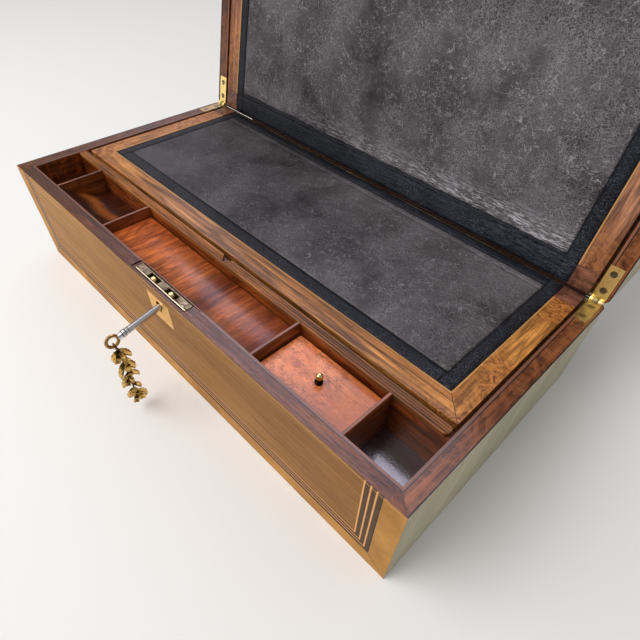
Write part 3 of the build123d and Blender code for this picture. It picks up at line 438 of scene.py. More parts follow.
def lid_inlay(slope, colour):
    """Front and top of the lid share the border: the distances are to the edges of each face."""
    place = level_place(slope, lid=True)
    x, y, z = split(place)
    from_end = minus(BOX_HALF, unsigned(x))
    from_depth = minus(BOX_DEPTH_HALF, unsigned(y))
    upper = minus(BOX_HIGH, z)
    on_top = is_below(upper, ON_FACE)
    on_front = is_below(plus(y, BOX_DEPTH_HALF), ON_FACE)
    down_front = minus(upper, BOTTOM_EXTRA)
    from_side = plus(times(on_top, from_depth), times(minus(1.0, on_top), down_front))
    plain = minus(1.0, larger(on_top, on_front))
    strung = inlay(colour, from_end, from_side, place)
    upright = stretched(place, (1.0, 1.0, 0.12))
    figure = clouds(upright, 60.0, 5.0, 0.6)
    # The lid's sides and back take the same grey olive, a painted reflection of the polish.
    olive_sheen = blend(ramp(figure, 0.35, 0.65), OLIVE_DARK, OLIVE_LIGHT)
    return dark_edge(slope, blend(plain, strung, olive_sheen))


lid_veneer = polished_wood(
    "lid_veneer", srgb(118, 78, 44), srgb(158, 114, 68), lid=True, scale=22.0, stretch=0.14, swirl=1.0,
    rings=5.0, ring_share=0.2, streak_share=0.2, fibre=700.0, fibre_share=0.18, pore_share=0.15,
    roughness=0.42, specular=0.2, coat=0.1, bump=0.08, overlay=lid_inlay)
finish_with(lid_veneer, "lid_veneers")

# Rims: dark rosewood strips glued on the walls' sloping edges and rubbed to a high polish. Their grain
# runs along each strip, brown and purple, with orange sapwood showing at the sides. Inside them show
# the edges of the thin mahogany linings, with a dark glue line between.
SIDE_FROM = 0.2155
GLUE_X = 0.2183
GLUE_U = 0.2268
GLUE_HALF = 0.00045
GLUE_END = 0.2262


def rim_lines(slope, colour):
    x = split(slope)[0]
    cloud = clouds(slope, 45.0, 5.0, 0.65, 2.0)
    side = is_above(unsigned(x), SIDE_FROM)
    share = times(ramp(cloud, 0.42, 0.66, 0.0, 0.85), side)
    colour = blend(share, colour, srgb(140, 84, 50))
    plum = clouds(slope, 14.0, 3.0)
    front = times(ramp(plum, 0.4, 0.6, 0.0, 0.7), minus(1.0, side))
    colour = blend(front, colour, srgb(104, 64, 48))
    # Painted light: the rims are made darker to the left and lighter to the right.
    return shaded(colour, ramp(x, -0.2, 0.2, 0.72, 1.25))


def lining_lines(slope, colour):
    """The glue line against the wall, dark, and the top of each lining's edge made lighter, partly as rubbed
    wear and partly as a painted highlight on the arris.
    """
    x, u, n = split(slope)
    reach = unsigned(x)
    joint = times(is_near(reach, GLUE_X, GLUE_HALF), is_below(unsigned(u), GLUE_END))
    joint = larger(joint, is_near(unsigned(u), GLUE_U, GLUE_HALF))
    top = is_above(n, -0.0012)
    curl = clouds(slope, 60.0, 5.0, 0.65, 2.2)
    in_end_wells = times(minus(1.0, top), is_above(reach, 0.1))
    curls = times(ramp(curl, 0.5, 0.66, 0.0, 0.85), in_end_wells)
    colour = blend(curls, colour, srgb(196, 94, 34))
    # Top of the edge lighter: rubbed wear and a painted highlight.
    colour = blend(times(top, 0.45), colour, srgb(150, 106, 88))
    return blend(times(joint, top), colour, srgb(14, 7, 5))


for lid, rims, linings in ((False, "base_rims", "base_linings"), (True, "lid_rims", "lid_linings")):
    rim_wood = polished_wood(
        f"{rims}_rosewood", srgb(50, 23, 12), srgb(142, 82, 46), lid=lid, scale=60.0, stretch=0.1,
        swirl=1.4, rings=7.0, ring_share=0.5, streak=330.0, streak_share=0.6, fibre=1100.0,
        fibre_share=0.45, pore_share=0.5, roughness=0.26, specular=0.22, coat=0.12, bump=0.3,
        mitred=(0.2185, 0.22702, 1.0), overlay=rim_lines)
    lining_wood = polished_wood(
        f"{linings}_mahogany", srgb(78, 36, 18), srgb(146, 80, 42), lid=lid, scale=40.0, stretch=0.14,
        swirl=1.0, ring_share=0.3, streak_share=0.45, fibre=1000.0, roughness=0.32, specular=0.25,
        coat=0.15, mitred=(SIDE_FROM, 0.2245, 1.0), overlay=lining_lines)
    finish_with(rim_wood, rims)
    finish_with(lining_wood, linings)
    ease(0.0004, rims, linings)

# Compartments: thin polished boards of dark red-brown wood let into the walls and glued. The floor is
# glossier than the rest, and the raised floor of the second well is a scooped tray of its own.
well_wood = polished_wood(
    "well_wood", srgb(74, 28, 12), srgb(172, 88, 38), scale=34.0, stretch=0.25, swirl=2.4, rings=8.0,
    ring_share=0.5, streak_share=0.4, fibre=800.0, fibre_share=0.3, roughness=0.28, specular=0.2,
    coat=0.1, bump=0.15)
finish_with(well_wood, "compartment_back", "board_ledges")
floor_wood = polished_wood(
    "well_floor_wood", srgb(52, 33, 34), srgb(92, 64, 70), scale=30.0, stretch=0.6, swirl=1.0,
    ring_share=0.1, streak=700.0, streak_share=0.2, fibre=1600.0, fibre_share=0.2, roughness=0.22,
    specular=0.8, coat=0.7, bump=0.3, pebble=620.0)
finish_with(floor_wood, "compartment_floor")
dividers = [f"divider_{number}" for number in (1, 2, 3, 4)]
divider_wood = polished_wood(
    "divider_wood", srgb(92, 42, 20), srgb(178, 102, 54), way="Y", scale=36.0, stretch=0.2,
    ring_share=0.4, streak_share=0.4, roughness=0.3, specular=0.25, coat=0.15)
finish_with(divider_wood, *dividers)


def painted_tray_light(slope, colour):
    """One orange streak along the dark tray: a painted patch of light."""
    x, u, n = split(slope)
    bend = clouds(slope, 26.0, 3.0)
    off = calc("MULTIPLY_ADD", bend, 0.02, calc("MULTIPLY_ADD", x, -0.12, u))
    middle = unsigned(plus(off, 0.1785))
    return blend(ramp(middle, 0.009, 0.001, 0.0, 0.8), colour, srgb(178, 98, 32))


scoop_wood = polished_wood(
    "scooped_tray_wood", srgb(38, 16, 11), srgb(88, 40, 20), way="Y", scale=30.0, stretch=0.2, swirl=1.8,
    ring_share=0.4, streak_share=0.5, roughness=0.3, specular=0.25, coat=0.1, overlay=painted_tray_light)
finish_with(scoop_wood, "shallow_well_floor")
ease(0.00035, "compartment_back", *dividers)


# Pen board: a thin orange-red board laid loose over the long middle compartment, its grain across the box
# in dark lines a few millimetres apart, darker towards the middle, with painted purplish shade over its
# right half and painted light over its left end.
def pen_figure(slope, colour):
    x, u, n = split(slope)
    long_way = stretched(slope, (1.0, 0.22, 1.0))
    smoke = clouds(long_way, 70.0, 5.0, 0.62, 2.0)
    colour = blend(ramp(smoke, 0.5, 0.34, 0.0, 0.7), colour, srgb(88, 34, 20))
    hair = clouds(long_way, 420.0, 3.0, 0.6, 0.8)
    colour = blend(ramp(hair, 0.5, 0.36, 0.0, 0.4), colour, srgb(96, 38, 22))
    bend = calc("MULTIPLY_ADD", smoke, 0.03, calc("MULTIPLY_ADD", u, 0.25, x))
    heart = ramp(unsigned(plus(bend, 0.014)), 0.016, 0.005)
    colour = blend(times(heart, 0.65), colour, srgb(72, 28, 20))
    # Painted shade: the right half is darkened towards a purplish brown.
    far = ramp(bend, -0.005, 0.03)
    colour = blend(times(far, 0.45), colour, srgb(104, 50, 46))
    # Painted light: the left end is made lighter.
    return shaded(colour, ramp(x, -0.01, -0.05, 1.0, 1.4))


pen_wood = polished_wood(
    "pen_board_wood", srgb(168, 74, 32), srgb(226, 128, 66), way="Y", scale=15.0, stretch=0.3, swirl=1.6,
    ring_share=0.3, streak=230.0, streak_share=0.4, fibre=520.0, fibre_share=0.3,
    pore_share=0.25, roughness=0.32, specular=0.2, coat=0.06, bump=0.2, overlay=pen_figure)
finish_with(pen_wood, "pen_board")
ease(0.0006, "pen_board")


# Knobbed cover: a loose board of burr, pinkish orange with dark specks, lying on cleats over the fourth
# compartment, painted lighter towards its left end and with a painted orange glow near its right end.
# Its small turned brass knob is pinned through it.
KNOB_BALL = 0.0054


def cover_burr(slope, colour):
    curl = clouds(slope, 85.0, 6.0, 0.72, 2.5)
    colour = blend(ramp(curl, 0.54, 0.4, 0.0, 0.55), colour, srgb(124, 56, 36))
    specks = clouds(slope, 620.0, 2.0, 0.6)
    colour = blend(ramp(specks, 0.59, 0.68, 0.0, 0.7), colour, srgb(60, 26, 20))
    x = split(slope)[0]
    # Painted glow of light near the right end of the cover.
    painted_glow = calc("MULTIPLY_ADD", curl, 0.03, x)
    colour = blend(ramp(painted_glow, 0.154, 0.17, 0.0, 0.6), colour, srgb(208, 112, 42))
    # Painted light: the cover is made lighter towards its left end.
    return shaded(colour, ramp(x, 0.15, 0.1, 1.0, 1.7))


cover_wood = polished_wood(
    "cover_wood", srgb(184, 92, 44), srgb(236, 148, 88), scale=24.0, stretch=0.6, swirl=1.6, rings=4.0,
    ring_share=0.15, streak_share=0.15, fibre=800.0, fibre_share=0.15, pore_share=0.3, roughness=0.3,
    coat=0.15, bump=0.25, overlay=cover_burr)
finish_with(cover_wood, "cover_board")
ease(0.0006, "cover_board")


def metal(name, colour, dull, roughness, spots=0.5, bump=0.08, scale=220.0, overlay=None):
    """Metal with dull spots and fine wear. overlay(place, colour) may lay lines over its colour."""
    paint, shader = new_paint(name)
    place = wire("ShaderNodeTexCoord", tree=paint.node_tree)["Object"]
    cloud = clouds(place, scale, 5.0, 0.65)
    tint = blend(ramp(cloud, 0.45, 0.7, 0.0, spots), colour, dull)
    if overlay:
        tint = overlay(place, tint)
    lay_on(shader, tint, ramp(cloud, 0.0, 1.0, roughness * 0.75, roughness * 1.3), cloud, bump, 0.0003)
    shader.inputs["Metallic"].default_value = 1.0
    return paint


def knob_foot(place, colour):
    """The neck and the flange are painted nearly black, as shade under the ball."""
    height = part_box("cover_knob")[1][2] - KNOB_BALL
    painted_shade = ramp(split(place)[2], height + 0.0004, height)
    return blend(painted_shade, colour, srgb(26, 16, 10))


finish_with(
    metal("knob_brass", srgb(232, 204, 138), srgb(140, 112, 62), 0.2, overlay=knob_foot), "cover_knob")

# Reeded rail: one strip with fine beads worked along it, let down over the back of the compartments.
rail_wood = polished_wood(
    "rail_wood", srgb(104, 56, 24), srgb(190, 122, 62), scale=30.0, stretch=0.08, swirl=0.6,
    ring_share=0.3, streak=300.0, streak_share=0.6, fibre=1200.0, fibre_share=0.4, roughness=0.38,
    specular=0.18, coat=0.08)
finish_with(rail_wood, "reeded_rail")

# Writing flaps: walnut frames mitred at the front corners, honey-coloured with dark streaks and burr
# in the corners. A fixed strip at the hinge side, darker burr at its ends, carries each leather.
INNER_X = 0.197
FRAME_X = 0.2134
MITRE_HALF = 0.00035
ARRIS_HALF = 0.0005
ARRIS_END = 0.0006
JOINT_SHADOW_REACH = 0.0016


def joint_shadow(slope, colour):
    """Painted shadow of the joint on the strip's meeting edge, behind the leather, nearly black."""
    x, u, n = split(slope)
    painted_shade = times(is_above(u, -JOINT_SHADOW_REACH), is_below(unsigned(x), INNER_X + 0.0005))
    return blend(painted_shade, colour, srgb(10, 8, 8))


def frame_burr(frame_edge, ends):
    def overlay(slope, colour):
        """Curled burr over the corners and the ends, the dark line of the mitre, inner arrises made pale as
        wear and painted highlight, and painted light, darker over the middle and lighter towards the ends.
        """
        reach = unsigned(split(slope)[0])
        curl = clouds(slope, 70.0, 6.0, 0.7, 3.5)
        burr = blend(ramp(curl, 0.38, 0.62), srgb(88, 40, 18), srgb(206, 136, 70))
        share = times(ramp(reach, 0.165, 0.205, 0.0, ends), ramp(clouds(slope, 16.0), 0.4, 0.55))
        colour = blend(share, colour, burr)
        past_x, past_u, apart = past_mitre(slope, *frame_edge)
        mitre = times(is_near(apart, 0.0, MITRE_HALF), is_above(past_x, 0.0))
        colour = blend(times(mitre, 0.8), colour, srgb(40, 20, 12))
        # Inner arrises made pale, partly as rubbed wear and partly as a painted highlight.
        worn_and_lit_side = times(is_near(past_x, ARRIS_HALF, ARRIS_HALF), is_below(past_u, ARRIS_END))
        worn_and_lit_rail = times(is_near(past_u, ARRIS_HALF, ARRIS_HALF), is_below(past_x, ARRIS_END))
        colour = blend(times(larger(worn_and_lit_side, worn_and_lit_rail), 0.5), colour, srgb(222, 176, 112))
        # Painted light: darker over the middle of the flap, lighter towards its ends.
        return shaded(colour, ramp(reach, 0.1, 0.2, 0.85, 1.12))
    return overlay


for lid, frame_node, strip_node, inner_front, outer_front in (
        (False, "base_flap_frame", "base_hinge_strip", 0.15199, 0.16957),
        (True, "lid_flap_frame", "lid_hinge_strip", 0.2044, 0.2219)):
    frame_edge = (INNER_X, inner_front, (outer_front - inner_front) / (FRAME_X - INNER_X))
    walnut = polished_wood(
        f"{frame_node}_walnut", srgb(100, 58, 42) if lid else srgb(140, 76, 30),
        srgb(192, 136, 104) if lid else srgb(240, 168, 88), lid=lid, scale=26.0, stretch=0.1, swirl=1.4,
        ring_share=0.5, streak=300.0, streak_share=0.65, fibre_share=0.45,
        pore_share=0.5, roughness=0.38, specular=0.18, coat=0.08, bump=0.3, mitred=frame_edge,
        overlay=frame_burr(frame_edge, 0.35 if lid else 0.9))
    strip_wood = polished_wood(
        f"{strip_node}_burr", srgb(66, 38, 30), srgb(150, 98, 76), lid=lid, scale=60.0, stretch=0.6,
        swirl=3.0, ring_share=0.4, streak_share=0.3, fibre_share=0.25, roughness=0.34, coat=0.15,
        overlay=joint_shadow)
    finish_with(walnut, frame_node)
    finish_with(strip_wood, strip_node)
    ease(0.0004, frame_node, strip_node)

# Leather: a worn grey-brown panel inside a border of navy-black skin, cut in strips and glued down on
# each flap. It is carried over the crease onto the fixed strip, with a valley and small folds by the crease.
CREASE_U = 0.01803
LEATHER_TOP = -0.0007
LEATHER_THICK = 0.0009
TURNED_DOWN = 0.0003
SKIN_STEP = 0.0026


def slope_point(x, u, n, lid):
    """Position of a point u down the slope from the pins and n off it, outwards in the lid."""
    down = Vector((0.0, -math.cos(SLOPE), math.sin(SLOPE)))
    off = Vector((0.0, math.sin(SLOPE), math.cos(SLOPE)))
    if lid:
        lifted = Matrix.Rotation(-LID_TURN, 3, "X")
        place = Vector((x, 0.0, 0.0)) + down * u + off * (LID_RISE - n)
        return PIN + lifted @ place
    return PIN + Vector((x, 0.0, 0.0)) + down * u + off * n


def skin_relief(x, u, fold_share, seed):
    """How far the skin stands off its board: slow swells, a valley at the crease and folds by it."""
    swell = noise.noise(Vector((x * 22.0, u * 22.0, seed))) * 0.00012
    swell += noise.noise(Vector((x * 70.0, u * 70.0, seed + 5.0))) * 0.00007
    valley = -0.0006 * math.exp(-((u - CREASE_U) / 0.0013) ** 2)
    fold_zone = math.exp(-((u - CREASE_U - 0.006) / 0.009) ** 2)
    folds = noise.noise(Vector((x * 35.0, u * 420.0, seed + 9.0))) * 0.0003 * fold_zone * fold_share
    return swell + valley + folds


def on_outline(x, u, outline):
    """Whether a point lies on the outline |x| = half_x, u = back or u = front of a skin."""
    half_x, back, front = outline
    along_side = abs(abs(x) - half_x) < 1e-5 and back - 1e-5 < u < front + 1e-5
    along_end = min(abs(u - back), abs(u - front)) < 1e-5 and abs(x) < half_x + 1e-5
    return along_side or along_end


def leather_skin(name, left, right, u_back, u_front, outlines, lid, fold_share, paint):
    """A skin over left < x < right and u_back < u < u_front, turned down along the outlines."""
    bm = bmesh.new()
    across = max(3, int((right - left) / SKIN_STEP))
    down = max(3, int((u_front - u_back) / SKIN_STEP))
    bmesh.ops.create_grid(bm, x_segments=across, y_segments=down, size=0.5)
    for vertex in bm.verts:
        x = left + (vertex.co.x + 0.5) * (right - left)
        u = u_back + (vertex.co.y + 0.5) * (u_front - u_back)
        vertex.co = Vector((x, u, 0.0))
    for cut in (CREASE_U, CREASE_U - 0.0012, CREASE_U + 0.0012):
        everything = bm.verts[:] + bm.edges[:] + bm.faces[:]
        bmesh.ops.bisect_plane(
            bm, geom=everything, dist=1e-6, plane_co=(0.0, cut, 0.0), plane_no=(0, 1, 0))
    for vertex in bm.verts:
        x, u = vertex.co.x, vertex.co.y
        relief = skin_relief(x, u, fold_share, 3.0 if lid else 0.0)
        if any(on_outline(x, u, outline) for outline in outlines):
            relief -= TURNED_DOWN
        vertex.co = slope_point(x, u, LEATHER_TOP + relief, lid)
    outward = slope_point(0, 0.1, 0.01, lid) - slope_point(0, 0.1, 0.0, lid)
    bm.normal_update()
    if sum(f.normal.dot(outward) for f in bm.faces) < 0:
        bmesh.ops.reverse_faces(bm, faces=bm.faces[:])
    bmesh.ops.solidify(bm, geom=bm.faces[:], thickness=LEATHER_THICK)
    return make_piece(name, bm, paint, smooth=True)


def skin_group():
    """Tanned skin: pebbles, two sizes of fine crackle, bright specks that are painted glints, and mottle,
    from one position.
    """
    tree, into, out = node_group(
        "skin_grain", {"Vector": None, "Pebble Scale": 900.0, "Crack Scale": 150.0},
        ("Pebbles", "Cracks", "Specks", "Mottle"))
    place = into["Vector"]
    warp = wire("ShaderNodeTexNoise", Vector=place, Scale=90.0, Detail=4.0, Roughness=0.6)["Color"]
    shift = wire("ShaderNodeVectorMath", {"operation": "SCALE"}, i0=warp, Scale=0.011)[0]
    bent = wire("ShaderNodeVectorMath", {"operation": "ADD"}, i0=place, i1=shift)[0]
    pebbles = wire(
        "ShaderNodeTexVoronoi", {"feature": "F1"}, Vector=place, Scale=into["Pebble Scale"],
        Randomness=1.0)
    net = wire(
        "ShaderNodeTexVoronoi", {"feature": "DISTANCE_TO_EDGE"}, Vector=bent,
        Scale=times(into["Crack Scale"], 4.2))
    cracks = times(
        ramp(net["Distance"], 0.16, 0.0), ramp(clouds(place, 17.0, 5.0, 0.7), 0.4, 0.62, 0.0, 0.5))
    for finer, width, gate_scale, low, high in (
            (0.7, 0.012, 22.0, 0.4, 0.58), (1.5, 0.018, 30.0, 0.42, 0.58)):
        crease = clouds(bent, times(into["Crack Scale"], finer), 2.5, 0.55)
        broken = ramp(clouds(place, gate_scale, 5.0, 0.75), low, high)
        vein = times(ramp(unsigned(minus(crease, 0.5)), width, 0.0), broken)
        cracks = larger(cracks, vein)
    # Bright specks: painted glints of light on the pebbles.
    painted_glints = ramp(clouds(place, 1150.0, 1.0), 0.62, 0.72)
    plug(pebbles["Distance"], out["Pebbles"])
    plug(cracks, out["Cracks"])
    plug(times(painted_glints, ramp(clouds(place, 30.0, 3.0), 0.4, 0.62)), out["Specks"])
    plug(ramp(clouds(place, 19.0, 6.0, 0.62, 0.6), 0.32, 0.68), out["Mottle"])
    return tree


skin_grain = skin_group()


def leather(
        name, dark, light, worn_and_lit_colour, lid, pebble, crack_share, speck_share, roughness, bump,
        fold_share, seam):
    """Leather worn pale along its cracks and folds, with painted highlights on the folds and specks and
    painted shade to the left. seam is the panel's outline, painted dark along its groove as shade.
    """
    paint, shader = new_paint(name)
    slope = along(paint.node_tree, lid)[0]
    x, u, n = split(slope)
    down = times(u, -1.0)
    skin = wire(
        "ShaderNodeGroup", {"node_tree": skin_grain}, Vector=slope, Pebble_Scale=pebble,
        Crack_Scale=120.0)
    reach = unsigned(minus(down, CREASE_U))
    by_crease = ramp(reach, 0.011 if lid else 0.003, 0.027 if lid else 0.02, 1.0, 0.0)
    wrinkle = clouds(stretched(slope, (0.16, 1.0, 1.0)), 640.0, 4.0, 0.6, 1.2)
    worn_and_lit = times(times(ramp(wrinkle, 0.5, 0.6), by_crease), fold_share)
    # Painted highlight: the pale folds by the crease are stronger to the right.
    worn_and_lit = times(worn_and_lit, ramp(x, -0.12, 0.19, 0.3, 1.0))
    worn_and_lit = larger(times(skin["Cracks"], crack_share), worn_and_lit)
    worn_and_lit = larger(worn_and_lit, times(skin["Specks"], speck_share))
    colour = blend(worn_and_lit, blend(skin["Mottle"], dark, light), worn_and_lit_colour)
    seam_x, seam_back, seam_front = seam
    middle, half = (seam_back + seam_front) / 2, (seam_front - seam_back) / 2
    off = larger(minus(unsigned(x), seam_x), minus(unsigned(minus(down, middle)), half))
    # Painted shade in the groove round the panel.
    groove = ramp(unsigned(off), 0.0008, 0.0003)
    colour = blend(times(groove, 0.75), colour, srgb(14, 14, 18))
    # Painted shade: the leather is darker towards the left.
    colour = shaded(colour, ramp(x, -0.19, 0.1, 0.78 if lid else 0.5, 1.05))
    folds = times(times(wrinkle, by_crease), 1.4)
    height = calc("MULTIPLY_ADD", skin["Cracks"], -0.6, plus(skin["Pebbles"], folds))
    gloss = ramp(skin["Mottle"], 0.0, 1.0, roughness * 1.15, roughness * 0.85)
    lay_on(shader, colour, gloss, height, bump, 0.0005)
    shader.inputs["Specular IOR Level"].default_value = 0.2
    return paint


PANEL_X = 0.1865
BORDER_X = 0.1968
SKIN_BACK = 0.0011
for lid, flap_front, border_front, panel_back, crease_at in (
        (False, 0.15199, 0.13994, 0.0112, (0.0, 0.10015, 0.084611)),
        (True, 0.2044, 0.1924, 0.0215, (0.0, 0.122665, 0.101055))):
    body = "lid" if lid else "base"
    fold_share = 1.0 if lid else 0.35
    outer = (BORDER_X, SKIN_BACK, flap_front)
    inner = (PANEL_X, panel_back, border_front)
    navy = leather(
        f"{body}_navy_skin", srgb(8, 9, 14), srgb(20, 23, 34), srgb(112, 118, 134), lid, 950.0, 0.35, 0.9,
        0.42, 1.0, 0.3 if lid else 0.15, inner)
    grey = leather(
        f"{body}_grey_skin", srgb(38, 35, 37), srgb(90, 86, 90), srgb(194, 192, 200), lid, 1250.0,
        0.6 if lid else 0.5, 0.45 if lid else 0.3, 0.46, 0.75, 1.0 if lid else 0.25, inner)
    for part, left, right, near, far in (
            ("left_strip", -BORDER_X, -PANEL_X, SKIN_BACK, flap_front),
            ("right_strip", PANEL_X, BORDER_X, SKIN_BACK, flap_front),
            ("back_strip", -PANEL_X, PANEL_X, SKIN_BACK, panel_back),
            ("front_strip", -PANEL_X, PANEL_X, border_front, flap_front),
            ("panel", -PANEL_X, PANEL_X, panel_back, border_front)):
        on_panel = part == "panel"
        skin = leather_skin(
            f"{body}_leather_{part}", left, right, near, far, (inner,) if on_panel else (outer, inner),
            lid, fold_share, grey if on_panel else navy)
        covered = ("flap_leather",) if on_panel else ("flap_border", "strip_leather")
        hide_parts(*(f"{body}_{node}" for node in covered))
        if near > CREASE_U:
            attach(skin, f"{body}_flap")
        else:
            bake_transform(skin)

# Hinges: cast brass butts let in flush, three knuckles each on a brass pin, held by slotted steel screws
# gone brown. The lid's leaves and pins are a lit copy of one brass, painted bright; the base's a shaded,
# duller copy.
# Painted light and shade: the same brass in a lit copy and a shaded copy.
lit_brass = metal("lit_brass", srgb(252, 226, 150), srgb(206, 162, 80), 0.34, bump=0.5, scale=300.0)
shaded_brass = metal("shaded_brass", srgb(158, 142, 100), srgb(106, 90, 58), 0.42, bump=0.5, scale=300.0)
dark_steel = metal("dark_steel", srgb(128, 114, 94), srgb(60, 50, 40), 0.4, spots=0.9, scale=420.0)
finish_with(lit_brass, "lid_hinge_leaves", "hinge_pins")
finish_with(shaded_brass, "base_hinge_leaves", "lock_case")
finish_with(dark_steel, "base_hinge_screws", "lid_hinge_screws", "lock_screws", "link_screws")
ease(0.0003, "base_hinge_leaves", "lid_hinge_leaves")

# Joint: a thin near-black thread laid along the meeting edges of the two halves, a dark thing that stands
# for the shadow in the gap, up to the right hinge. Beside the left hinge the joint is open and light shows
# through.
THREAD_RADIUS = 0.00034
THREAD_LEFT = -0.168
THREAD_LENGTH = 0.381
bm = bmesh.new()
start = bmesh.ops.create_circle(bm, cap_ends=True, radius=THREAD_RADIUS, segments=8)["verts"]
bmesh.ops.rotate(bm, verts=start, matrix=Matrix.Rotation(QUARTER, 3, "Y"))
bmesh.ops.translate(bm, verts=start, vec=PIN + Vector((THREAD_LEFT, 0.0, 0.0)))
pulled = bmesh.ops.extrude_face_region(bm, geom=bm.faces[:])["geom"]
pulled = [part for part in pulled if isinstance(part, bmesh.types.BMVert)]
bmesh.ops.translate(bm, verts=pulled, vec=(THREAD_LENGTH, 0.0, 0.0))
bmesh.ops.recalc_face_normals(bm, faces=bm.faces[:])
joint_shadow_paint = polished_wood(
    "joint_shadow_paint", srgb(10, 8, 8), srgb(22, 16, 14), roughness=0.6, specular=0.1, coat=0.0)
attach(make_piece("joint_shadow_thread", bm, joint_shadow_paint), "base")

# Lock: an edge plate of nickelled brass, worn yellow, screwed into the front wall's edge. A ridge runs
# along its outer side, painted as a highlight line, with painted shadow in the lines at both its feet and
# along the plate's back. The lid carries a plate with staples.
RIDGE_Y = -0.11355
RIDGE_HALF = 0.00045
INNER_LINE_Y = -0.1126
OUTER_LINE_Y = -0.1141
PLATE_BACK_Y = -0.107


def plate_ridge(place, colour):
    y = split(place)[1]
    # Painted shadow in the lines by the ridge and along the back of the plate.
    painted_shade = larger(is_near(y, INNER_LINE_Y, 0.0004), is_below(y, OUTER_LINE_Y))
    painted_shade = larger(painted_shade, is_above(y, PLATE_BACK_Y))
    colour = blend(painted_shade, colour, srgb(14, 9, 7))
    # Painted highlight along the ridge.
    bright = is_near(y, RIDGE_Y, RIDGE_HALF)
    return blend(times(bright, 0.7), colour, srgb(206, 192, 156))


nickel = metal(
    "worn_nickel", srgb(104, 96, 74), srgb(38, 32, 22), 0.42, spots=0.9, bump=0.25, overlay=plate_ridge)
finish_with(nickel, "lock_selvage")
finish_with(
    metal("staple_nickel", srgb(176, 164, 140), srgb(116, 100, 72), 0.34, spots=0.7), "lid_link_plate")
finish_with(metal("plate_brass", srgb(236, 186, 104), srgb(200, 144, 70), 0.42), "escutcheon")
ease(0.0003, "lock_selvage", "lid_link_plate", "escutcheon")

# Bolt: a brass bar inside the lock case with two hooked catches filed from it. Each is a crescent that
# stands in its opening of the edge plate and slides under a staple.
BOLT_LOW, BOLT_HIGH = (Vector(corner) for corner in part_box("lock_bolt"))
BAR_HIGH = 0.0042
TALON_DEEP = 0.0022
TALON = (-0.009, -0.002)
POSTS = (-0.01415, 0.00845)
HOOK_RADIUS = 0.0027
HOOK_WIDE = 0.0014
PLAY = 0.0002


def hooked_bolt():
    """A bar notched for the key's bit, and two hooks swept round from their necks to a thin tip."""
    bm = bmesh.new()
    middle = (BOLT_LOW + BOLT_HIGH) / 2
    thick = BOLT_HIGH.y - BOLT_LOW.y
    bar_top, talon = BOLT_LOW.z + BAR_HIGH, BOLT_LOW.z + TALON_DEEP

    def block(left, right, low, high, play):
        cube = bmesh.ops.create_cube(bm, size=1.0)["verts"]
        bmesh.ops.scale(bm, verts=cube, vec=(right - left, thick - play, high - low))
        bmesh.ops.translate(bm, verts=cube, vec=((left + right) / 2, middle.y, (low + high) / 2))

    for left, right, low, high in (
            (BOLT_LOW.x, BOLT_HIGH.x, talon, bar_top), (BOLT_LOW.x, TALON[0], BOLT_LOW.z, talon),
            (TALON[1], BOLT_HIGH.x, BOLT_LOW.z, talon)):
        block(left, right, low, high, PLAY)
    long_edges = [edge for edge in bm.edges if abs((edge.verts[0].co - edge.verts[1].co).y) > 0.001]
    bmesh.ops.bevel(
        bm, geom=long_edges, offset=0.0003, segments=2, profile=0.5, affect="EDGES", material=-1)
    for post in POSTS:
        centre = Vector((post + HOOK_RADIUS, middle.y, BOLT_HIGH.z + 0.001 - HOOK_RADIUS - HOOK_WIDE / 2))
        section = bmesh.ops.create_grid(bm, x_segments=2, y_segments=2, size=0.5)["verts"]
        bmesh.ops.scale(bm, verts=section, vec=(HOOK_WIDE, thick, 1.0))
        bmesh.ops.translate(bm, verts=section, vec=centre - Vector((HOOK_RADIUS, 0.0, 0.0)))
        foot = [face for face in bm.faces if all(vertex in section for vertex in face.verts)]
        swept = bmesh.ops.spin(
            bm, geom=foot, cent=centre, axis=(0, 1, 0), angle=math.radians(215), steps=18)
        end = [face for face in swept["geom_last"] if isinstance(face, bmesh.types.BMFace)]
        tip = [vertex for vertex in bm.verts if any(vertex in face.verts for face in end)]
        point = sum((vertex.co for vertex in tip), Vector()) / len(tip)
        bmesh.ops.scale(bm, verts=tip, vec=(0.5, 0.8, 0.5), space=Matrix.Translation(-point))
        half = HOOK_WIDE * 0.65
        rise = (centre.z - bar_top + 0.001) / 2
        level = (centre.z + bar_top) / 2
        block(post - half, post + half, level - rise, level + rise, 2 * PLAY)
    bmesh.ops.recalc_face_normals(bm, faces=bm.faces[:])
    return make_piece(
        "hooked_bolt", bm, metal("hook_brass", srgb(226, 198, 134), srgb(150, 116, 62), 0.3))


bolt = hooked_bolt()
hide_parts("lock_bolt")
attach(bolt, "bolt")

# Key: a turned steel pipe with collars, brazed to a cast brass bow, nearly round. Dark lines are cut
# round the collar beside the bow.
COLLAR_CUTS = ((-0.1458, 0.00025), (-0.1484, 0.0003), (-0.1512, 0.0003))


def turned_rings(place, colour):
    y = split(place)[1]
    for middle, half in COLLAR_CUTS:
        colour = blend(times(is_near(y, middle, half), 0.85), colour, srgb(30, 26, 24))
    return colour


key_steel = metal(
    "key_steel", srgb(206, 206, 210), srgb(150, 146, 146), 0.2, spots=0.3, bump=0.0, scale=90.0,
    overlay=turned_rings)
bow_brass = metal("bow_brass", srgb(168, 132, 78), srgb(96, 72, 40), 0.34, spots=0.8)
finish_with(key_steel, "key_shank", "lock_drill_pin")
finish_with(bow_brass, "key_bow")

